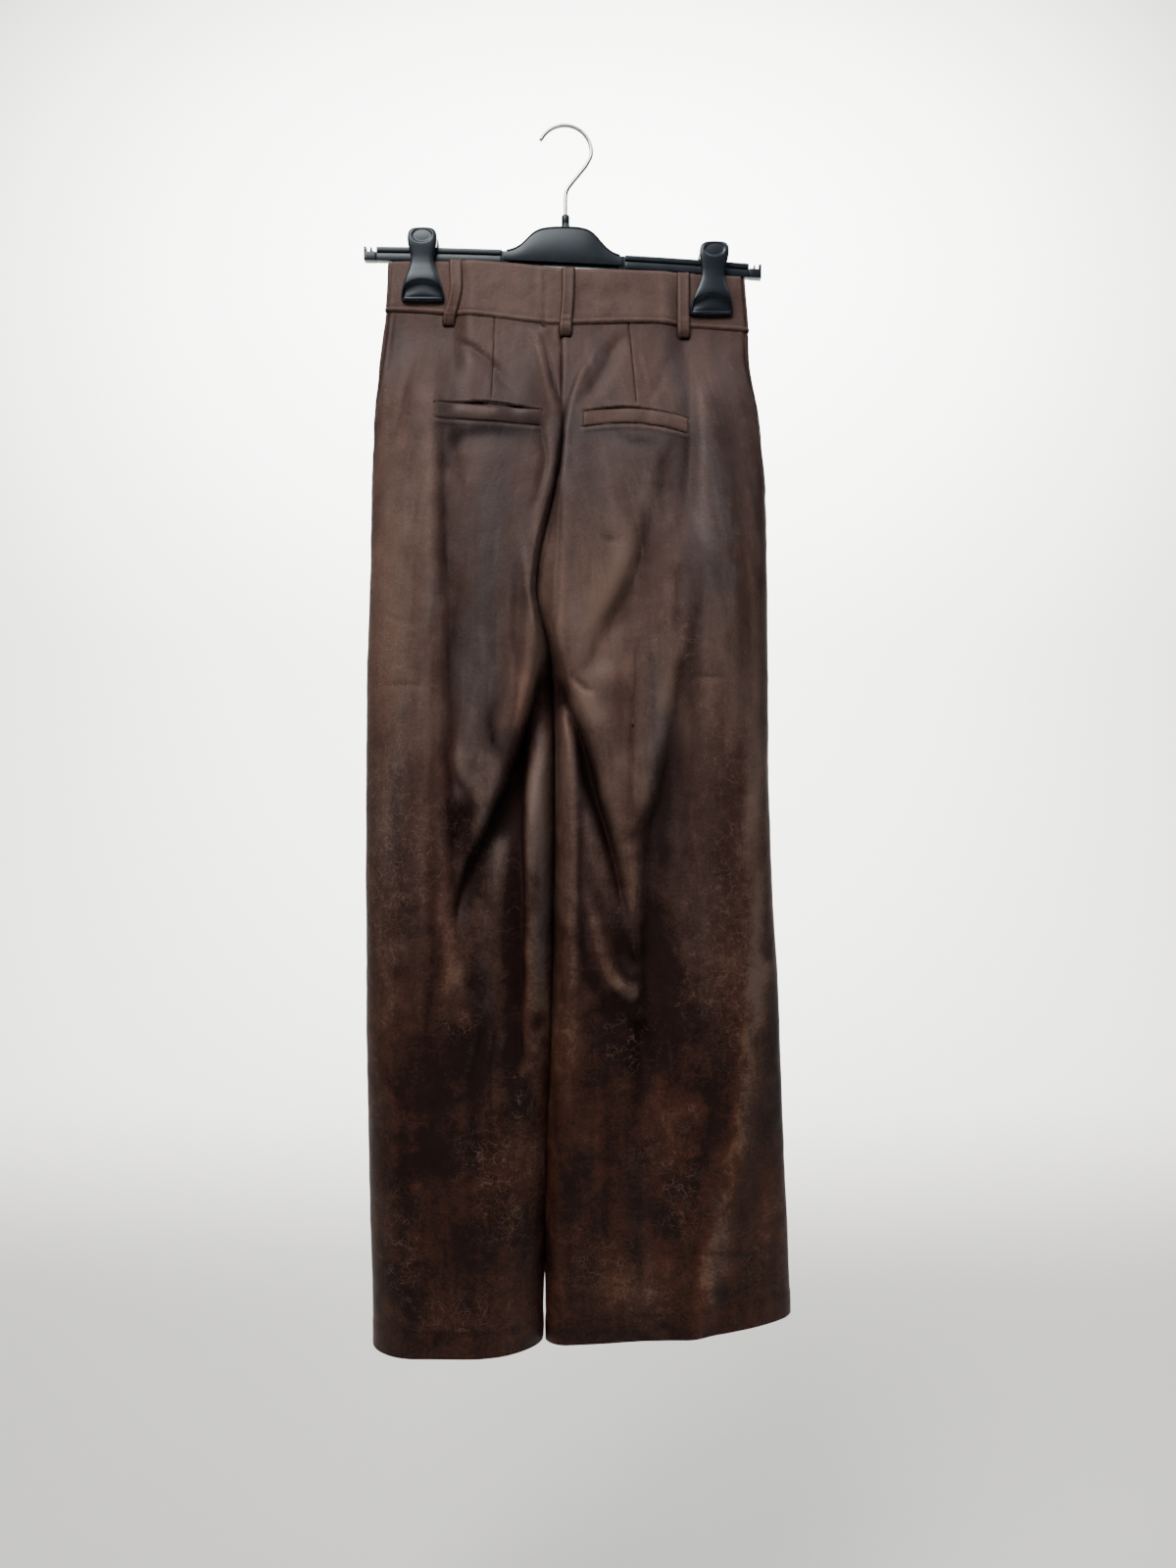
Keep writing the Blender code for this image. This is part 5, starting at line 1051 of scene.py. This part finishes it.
def stitchTree():
    # a row of short thread beads along a line
    tree = bpy.data.node_groups.new("stitchRow", "GeometryNodeTree")
    for title, kind in (("Line", "Geometry"), ("Pitch", "Float"), ("Length", "Float"), ("Radius", "Float"),
                        ("Uneven", "Float"), ("Seed", "Int"), ("Thread", "Material")):
        tree.interface.new_socket(title, in_out="INPUT", socket_type="NodeSocket" + kind)
    tree.interface.new_socket("Stitches", in_out="OUTPUT", socket_type="NodeSocketGeometry")
    given = tree.nodes.new("NodeGroupInput").outputs
    result = tree.nodes.new("NodeGroupOutput")
    points = node(tree, "GeometryNodeCurveToPoints", {"Curve": given["Line"], "Length": given["Pitch"]}, mode="LENGTH")
    bead = node(tree, "GeometryNodeMeshUVSphere", {"Segments": 6, "Rings": 5, "Radius": 1.0})
    half = node(tree, "ShaderNodeMath", {0: given["Length"], 1: 0.5}, operation="MULTIPLY")
    size = node(tree, "ShaderNodeCombineXYZ", {0: given["Radius"], 1: given["Radius"], 2: half.outputs[0]})
    low, high = (node(tree, "ShaderNodeMath", {0: 1.0, 1: given["Uneven"]}, operation=kind)
                 for kind in ("SUBTRACT", "ADD"))
    chance = node(tree, "FunctionNodeRandomValue", {2: low.outputs[0], 3: high.outputs[0], "Seed": given["Seed"]},
                  data_type="FLOAT")
    scaled = node(tree, "ShaderNodeVectorMath", {0: size.outputs[0], "Scale": chance.outputs[1]}, operation="SCALE")
    placed = node(tree, "GeometryNodeInstanceOnPoints", {
        "Points": points.outputs["Points"], "Instance": bead.outputs["Mesh"],
        "Rotation": points.outputs["Rotation"], "Scale": scaled.outputs[0]})
    real = node(tree, "GeometryNodeRealizeInstances", {0: placed.outputs[0]})
    smooth = node(tree, "GeometryNodeSetShadeSmooth", {0: real.outputs[0]})
    painted = node(tree, "GeometryNodeSetMaterial", {"Geometry": smooth.outputs[0], "Material": given["Thread"]})
    tree.links.new(painted.outputs[0], result.inputs["Stitches"])
    return tree


stitchRow = stitchTree()


def sew(name, lines, pitch=stitching["pitch"], radius=stitching["radius"]):
    curve = bpy.data.curves.new(name + "Line", "CURVE")
    curve.dimensions = "3D"
    for line in lines:
        spline = curve.splines.new("POLY")
        spline.points.add(len(line) - 1)
        spline.points.foreach_set("co", np.hstack([np.array(line) * mm, np.ones((len(line), 1))]).ravel())
    holder = addObject(name + "Line", curve)
    rows = holder.modifiers.new("Stitches", "NODES")
    rows.node_group = stitchRow
    values = {"Pitch": pitch * mm, "Length": stitching["length"] * mm, "Radius": radius * mm,
              "Uneven": stitching["uneven"], "Seed": stitching["seed"], "Thread": brownThread}
    for item in stitchRow.interface.items_tree:
        if item.in_out == "INPUT" and item.name in values:
            rows[item.identifier] = values[item.name]
    bpy.context.view_layer.update()
    mesh = bpy.data.meshes.new_from_object(holder.evaluated_get(bpy.context.evaluated_depsgraph_get()))
    bpy.data.objects.remove(holder)
    dress(addObject(name, mesh), brownThread)


def acrossGrid(grid, key, above, lift, skip):
    # a line of points across a grid, a little above its seam or hem
    points, outward, share = grid["points"], grid["outward"], np.arange(len(grid["points"]))
    line = []
    for column in range(skip, points.shape[1] - skip):
        x = grid["x"][0, column]
        for _ in range(2):
            level = float(read(form["levels"], key, x)) - above
            row = float(np.interp(level, grid["drop"][:, column], share))
            x = float(np.interp(row, share, grid["x"][:, column]))
        low = min(int(row), len(points) - 2)
        part = row - low
        point, out = (kept[low, column] * (1 - part) + kept[low + 1, column] * part for kept in (points, outward))
        line.append(point + out * lift)
    return np.array(line)


quarters = [(part, side) for part in ("back", "front") for side in ("Left", "Right")]
sew("stitchesBand", [acrossGrid(grids[part + "Band" + side], "bandSeam", 4.4, 0.05, 3) for part, side in quarters])
sew("stitchesHem", [acrossGrid(grids[part + side], "hem", panels["hemStitch"], 0.1, 2) for part, side in quarters])
sew("stitchesLoops", loopRails, 2.6, 0.24)
flyLine = []
for down in np.linspace(0.0, 1.0, 60):
    drop = fly["top"] + (fly["foot"] - fly["top"] - 6) * down
    x = fly["left"] + (fly["width"] - 5.5) * math.sqrt(max(0.0, 1 - max(0.0, (down - 0.74) / 0.26) ** 2))
    x = max(x, float(read(form["middle"], "x", drop)) + 0.6)
    flyLine.append((x, flySpot(x, drop) + 2.15, -drop))
sew("stitchesFront", [np.array(flyLine), *frontLinesSewn])
weltEnds = []
for _, side in sides:
    (x0, drop0), (x1, drop1) = welts[side]["ends"]
    for x, drop in ((x0 - 1.2, drop0), (x1 + 1.2, drop1)):
        weltEnds.append(np.array([clothSpot("back", x, drop + down)[0] + (0, -0.35, 0)
                                  for down in np.linspace(0.5, welts[side]["height"] - 0.5, 8)]))
sew("stitchesWelts", weltEnds, 2.2, 0.22)
print("stitches made")

# Hanger
hanger = {
    "barLeft": (-194.0, 123.5), "barRight": (190.5, 141.0), "barBow": 3.4, "barHeight": 13.0, "bodyTop": 97.5,
    "footHalf": 55.0, "plateHalf": 58.0, "middle": -1.0, "coreDepth": 3.0, "lipDepth": 4.5, "plateDepth": 3.9,
    "lipHeight": 5.0, "grooveHeight": 1.1, "undercut": 2.7, "rimHeight": 1.9, "endLength": 12.0,
    "shoulder": table("aside rise", [
        (0, 1.0), (8, 0.995), (16, 0.965), (22, 0.915), (26, 0.845), (30, 0.735), (34, 0.575), (38, 0.40), (42, 0.25),
        (46, 0.14), (50, 0.065), (54, 0.02), (58, 0.0)]),
}


def upperEdge(x):
    (x0, drop0), (x1, drop1) = hanger["barLeft"], hanger["barRight"]
    share = (x - x0) / (x1 - x0)
    return drop0 + (drop1 - drop0) * share - hanger["barBow"] * 4 * share * (1 - share) - hanger["barHeight"] / 2


def lowerEdge(x):
    return upperEdge(x) + hanger["barHeight"]


def bodyTopAt(x):
    # drop of the body's top edge, with its curved shoulders
    rise = float(read(hanger["shoulder"], "rise", abs(x - hanger["middle"])))
    return upperEdge(x) + (hanger["bodyTop"] - upperEdge(x)) * rise


def finishMesh(work):
    mesh = bpy.data.meshes.new("shape")
    work.to_mesh(mesh)
    work.free()
    return mesh


def slab(outlineTop, outlineBottom, deep, edge):
    # a closed strip between two edges given as (x, drop), as deep before the middle as behind it, edges rounded
    outline = list(outlineTop) + list(outlineBottom)[::-1]
    work = bmesh.new()
    near, far = ([work.verts.new((x * mm, y * mm, -drop * mm)) for x, drop in outline] for y in (-deep, deep))
    count = len(outline)
    for ring, order in ((near, 1), (far, -1)):
        for i in range(len(outlineTop) - 1):
            lower = count - 1 - i
            work.faces.new((ring[i], ring[i + 1], ring[lower - 1], ring[lower])[::order])
    for i in range(count):
        work.faces.new((near[i], far[i], far[(i + 1) % count], near[(i + 1) % count]))
    bmesh.ops.recalc_face_normals(work, faces=work.faces)
    sharp = [e for e in work.edges if e.calc_face_angle(0) > 0.6]
    bmesh.ops.bevel(work, geom=sharp, offset=edge * mm, segments=3, profile=0.5, affect="EDGES")
    return finishMesh(work)


def strip(x0, x1, topAt, topShift, bottomAt, bottomShift, deep, edge, count=None):
    xs = np.linspace(x0, x1, count or max(2, int(abs(x1 - x0) / 2.5)))
    return slab([(x, topAt(x) + topShift) for x in xs], [(x, bottomAt(x) + bottomShift) for x in xs], deep, edge)


def loft(rings):
    # a closed skin through rings of points
    work = bmesh.new()
    rings = [[work.verts.new(tuple(np.array(point) * mm)) for point in ring] for ring in rings]
    count = len(rings[0])
    for one, two in zip(rings, rings[1:]):
        for i in range(count):
            work.faces.new((one[i], one[(i + 1) % count], two[(i + 1) % count], two[i]))
    work.faces.new(rings[0])
    work.faces.new(rings[-1])
    bmesh.ops.recalc_face_normals(work, faces=work.faces)
    return finishMesh(work)


def merged(name, meshes, sharpAngle=40):
    work = bmesh.new()
    for mesh in meshes:
        work.from_mesh(mesh)
        bpy.data.meshes.remove(mesh)
    mesh = finishMesh(work)
    mesh.name = name
    mesh.shade_smooth()
    mesh.set_sharp_from_angle(angle=math.radians(sharpAngle))
    return addObject(name, mesh)


leftEnd, rightEnd, endLength = hanger["barLeft"][0], hanger["barRight"][0], hanger["endLength"]
core, lip, plate = hanger["coreDepth"], hanger["lipDepth"], hanger["plateDepth"]
bodyLeft, bodyRight = hanger["middle"] - hanger["plateHalf"], hanger["middle"] + hanger["plateHalf"]
plateFoot, groove = -hanger["undercut"], hanger["lipHeight"] + hanger["grooveHeight"]
# from x, to x, upper edge and how far below it, lower edge and how far below it, half depth, rounding, points
strips = [
    (leftEnd + endLength, rightEnd - endLength, upperEdge, 0.6, lowerEdge, -0.2, core, 0.4),
    # the ends, with an open notch in each
    (leftEnd, leftEnd + endLength, upperEdge, 4.6, lowerEdge, 0, lip, 0.7),
    (rightEnd - endLength, rightEnd, upperEdge, 4.6, lowerEdge, 0, lip, 0.7),
    (leftEnd, leftEnd + 2.6, upperEdge, -0.2, upperEdge, 6, lip, 0.6),
    (leftEnd + 6.2, leftEnd + 8.0, upperEdge, 0.6, upperEdge, 6, lip, 0.5),
    (rightEnd - 2.6, rightEnd, upperEdge, -0.2, upperEdge, 6, lip, 0.6),
    (rightEnd - 7.6, rightEnd - 5.8, upperEdge, 1.0, upperEdge, 6, lip, 0.5),
    # the body plate and its foot
    (bodyLeft, bodyRight, bodyTopAt, 1.4, lowerEdge, plateFoot, plate, 0.8, 72),
    (bodyLeft + 4, bodyRight - 4, lowerEdge, plateFoot - 0.6, lowerEdge, 0, core, 0.4),
]
for x0, x1 in ((leftEnd + endLength + 0.2, bodyLeft - 1.4), (bodyRight + 1.4, rightEnd - endLength - 0.2)):
    strips.append((x0, x1, upperEdge, 0, upperEdge, hanger["lipHeight"], lip, 0.7))
    strips.append((x0, x1, upperEdge, groove, lowerEdge, 0, lip - 0.5, 0.6))
# the raised rim that follows the body's top edge
strips.append((hanger["middle"] - hanger["footHalf"], hanger["middle"] + hanger["footHalf"], bodyTopAt, 0, bodyTopAt,
               hanger["rimHeight"], lip, 0.5, 120))
hangerPiece(merged("hangerBody", [strip(*row) for row in strips]), "hanger_body")

# Hook and its collar: the wire's stem as (x, drop) up to the bend, the collar as (radius, drop)
hook = {
    "wire": 3.7, "radius": 26.0, "x": 1.0, "bendFrom": -10, "bendThrough": 165,
    "stem": [(1.0, 95.0), (1.0, 68.0), (1.5, 62.6), (4.2, 57.6), (20.6, 37.6), (24.2, 31.0)],
    "collar": [(1.9, 85.4), (2.9, 85.5), (3.6, 86.0), (3.9, 87.0), (3.9, 93.6), (3.7, 94.1), (3.9, 94.6),
               (4.4, 97.0), (4.6, 98.4)],
}


def hookLine():
    middleDrop = hook["radius"] - hook["wire"] / 2
    angles = np.radians(hook["bendFrom"] + hook["bendThrough"] * np.arange(40) / 39)
    bend = np.stack([hook["radius"] * np.cos(angles), middleDrop - hook["radius"] * np.sin(angles)], axis=1)
    line = np.concatenate([hook["stem"], bend])
    distance = np.concatenate([[0], np.cumsum(np.hypot(*np.diff(line, axis=0).T))])
    fine = np.linspace(0, distance[-1], 170)
    line = np.stack([np.interp(fine, distance, line[:, k]) for k in (0, 1)], axis=1)
    for _ in range(6):
        line[1:-1] = (line[:-2] + 2 * line[1:-1] + line[2:]) / 4
    return line


def tube(name, line, radii, count=20):
    # a round bar along a line of points, with closed ends
    line = np.asarray(line, float)
    ahead = np.gradient(line, axis=0)
    ahead /= np.linalg.norm(ahead, axis=1, keepdims=True)
    rings = []
    for point, way, radius in zip(line, ahead, radii):
        third = np.cross(way, (0.0, 1.0, 0.0))
        third /= np.linalg.norm(third)
        second = np.cross(third, way)
        rings.append([point + radius * (second * math.cos(angle) + third * math.sin(angle))
                      for angle in (2 * math.pi * i / count for i in range(count))])
    return merged(name, [loft(rings)], 50)


wire = hookLine()
radii = np.full(len(wire), hook["wire"] / 2)
radii[-3:] *= (0.96, 0.86, 0.62)
hookWire = tube("hookWire", np.stack([wire[:, 0], 0 * wire[:, 0], -wire[:, 1]], axis=1), radii)
dress(hookWire, hookSteel, "hook_wire")
radii, drops = zip(*hook["collar"])
hangerPiece(tube("hookCollar", [(hook["x"], 0, -drop) for drop in drops], radii, 32), "hook_socket")
print("hanger and hook made")

# Clips
clip = {
    "tops": (101.5, 114.8), "leans": (0.0, -2.6), "corner": 7,
    "rows": table("down half face back", [
        (0.0, 5.2, 10.6, 8.6), (0.5, 7.6, 11.6, 8.2), (1.6, 10.4, 12.5, 7.7), (3.6, 12.6, 13.2, 7.2),
        (7.0, 13.8, 13.7, 7.0), (12.0, 14.1, 13.9, 6.8), (17.0, 13.5, 13.8, 6.7), (23.0, 12.1, 13.4, 6.5),
        (29.0, 11.0, 13.0, 6.4), (34.0, 11.2, 12.9, 6.5), (41.0, 13.0, 13.2, 6.7), (49.0, 16.0, 13.6, 6.9),
        (56.0, 18.4, 13.2, 6.2), (62.0, 19.9, 12.3, 4.4), (66.5, 20.6, 11.6, 3.9), (69.4, 20.2, 10.8, 3.9),
        (70.6, 18.8, 9.8, 4.1), (71.0, 17.6, 9.0, 4.4)]),
    "dish": {"down": 8.8, "half": 10.2, "tall": 6.9, "depth": 0.9},
    "scoop": {"down": 50.6, "droop": 7.5, "depth": 3.1, "fall": 4.2},
}
bridge = {"width": 11.0, "height": 5.0, "depth": 12.4, "under": 0.7, "down": 30}


def jawMesh(clipX, top, lean, facing):
    # one jaw: rings of a soft rectangle, with the thumb dish and the scooped foot pressed into its face
    downs = [0, 0.25, 0.5, 1.0, 1.6, *np.linspace(2.4, 68.0, 76), 68.8, 69.4, 70.0, 70.4, 70.8, 71.0]
    acrosses = np.sin(np.linspace(-1, 1, 41) * math.pi / 2)
    dish, scoop, corner = clip["dish"], clip["scoop"], clip["corner"]
    rings = []
    for down in downs:
        half, face, back = (float(read(clip["rows"], key, down)) for key in ("half", "face", "back"))
        middle = clipX - math.tan(math.radians(lean)) * (45 - down)
        x = half * acrosses
        rounded = (1 - np.abs(acrosses) ** corner) ** (1 / corner)
        out = back + (face - back) * (0.42 + 0.58 * rounded) - 0.55 * acrosses * acrosses
        away = np.hypot(x / dish["half"], (down - dish["down"]) / dish["tall"])
        out -= dish["depth"] * (1 - ease((away - 0.86) / 0.18))
        sink = down - scoop["down"] - scoop["droop"] * (x / 20.0) ** 2
        edges = (1 - ease((np.abs(x) - half + 3.0) / 1.6)) * (1 - ease((down - 67.6) / 1.2))
        out -= scoop["depth"] * ease(sink / scoop["fall"]) * edges * (1 - 0.30 * ease((sink - 5) / 9))
        rings.append([(middle + a, facing * b, -(top + down)) for a, b in zip(x, out)] + [
            (middle + half * 0.985 * across, facing * back, -(top + down)) for across in acrosses[::-4]])
    return loft(rings)


for (_, side), clipX, top, lean in zip(sides, form["clipX"], clip["tops"], clip["leans"]):
    for name, facing in (("Front", -1), ("Rear", 1)):
        hangerPiece(merged("clip%s%sJaw" % (side.capitalize(), name), [jawMesh(clipX, top, lean, facing)]),
                    "clip_%s_%s_jaw" % (side, name.lower()))
    x = clipX - math.tan(math.radians(lean)) * bridge["down"]
    foot = upperEdge(x) - bridge["under"]
    ends = (x - bridge["width"] / 2, x + bridge["width"] / 2)
    saddle = slab([(end, foot - bridge["height"]) for end in ends], [(end, foot) for end in ends],
                  bridge["depth"] / 2, 0.9)
    hangerPiece(merged("clip%sBridge" % side.capitalize(), [saddle]), "clip_%s_bridge" % side)
print("clips made")

# Camera, floor, backdrop and lights
studio = {
    "lens": 27.04, "cameraPlace": (0.0228, -1.142, -0.6365),
    "floorDrop": 1.60, "width": 9.0, "near": -3.2, "bendStart": 2.4, "bend": 1.6, "height": 3.4,
    "paper": (0.86, 0.855, 0.84), "world": (0.80, 0.84, 0.90), "worldStrength": 0.08,
    "lights": [  # name, place, aim, size, power, colour, spread
        ("key", (-0.52, -1.15, 0.85), (0, 0, -0.46), (1.0, 0.7), 10.5, (1.0, 0.985, 0.96), 80),
        ("top", (0.75, -0.60, 1.00), (0, 0, -0.4), (0.9, 0.9), 3.2, (0.80, 0.90, 1.0), 80),
        ("wash", (0, 1.3, 2.6), (0, 4.0, 0.9), (4.2, 1.0), 720, (1.0, 0.99, 0.97), 120),
        ("behind", (0.9, 2.1, 0.5), (0, 0, -0.7), (1.0, 1.0), 3, (1.0, 0.98, 0.96), 120),
    ],
}
camera = addObject("camera", bpy.data.cameras.new("camera"))
camera.data.lens = studio["lens"]
camera.data.sensor_width = 36
camera.location = studio["cameraPlace"]
camera.rotation_euler = (math.radians(90), 0, 0)
bpy.context.scene.camera = camera


def backdrop():
    # a pale floor that curves up behind
    start, floor, bend = studio["bendStart"], -studio["floorDrop"], studio["bend"]
    path = [(studio["near"], floor), (start, floor)]
    path += [(start + bend * math.sin(angle), floor + bend * (1 - math.cos(angle)))
             for angle in (math.pi / 2 * step / 16 for step in range(1, 17))]
    path.append((path[-1][0], path[-1][1] + studio["height"]))
    half = studio["width"] / 2
    corners = [(x, y, z) for y, z in path for x in (-half, half)]
    faces = [(2 * i, 2 * i + 1, 2 * i + 3, 2 * i + 2) for i in range(len(path) - 1)]
    mesh = bpy.data.meshes.new("paleFloor")
    mesh.from_pydata(corners, [], faces)
    mesh.shade_smooth()
    mesh.materials.append(newMaterial("palePaper", {
        "Base Color": (*studio["paper"], 1), "Roughness": 0.95, "Specular IOR Level": 0.1})[0])
    addObject("paleFloor", mesh)


backdrop()
world = bpy.data.worlds.new("studio")
bpy.context.scene.world = world
world.use_nodes = True
world.node_tree.nodes["Background"].inputs["Color"].default_value = (*studio["world"], 1)
world.node_tree.nodes["Background"].inputs["Strength"].default_value = studio["worldStrength"]
for name, place, aim, size, power, colour, spread in studio["lights"]:
    data = bpy.data.lights.new(name, "AREA")
    data.shape, data.energy, data.color, data.spread = "RECTANGLE", power, colour, math.radians(spread)
    data.size, data.size_y = size
    light = addObject(name, data)
    light.location = place
    light.rotation_euler = (Vector(aim) - Vector(place)).to_track_quat("-Z", "Y").to_euler()
    light.visible_camera = False
print("camera, floor and lights made")
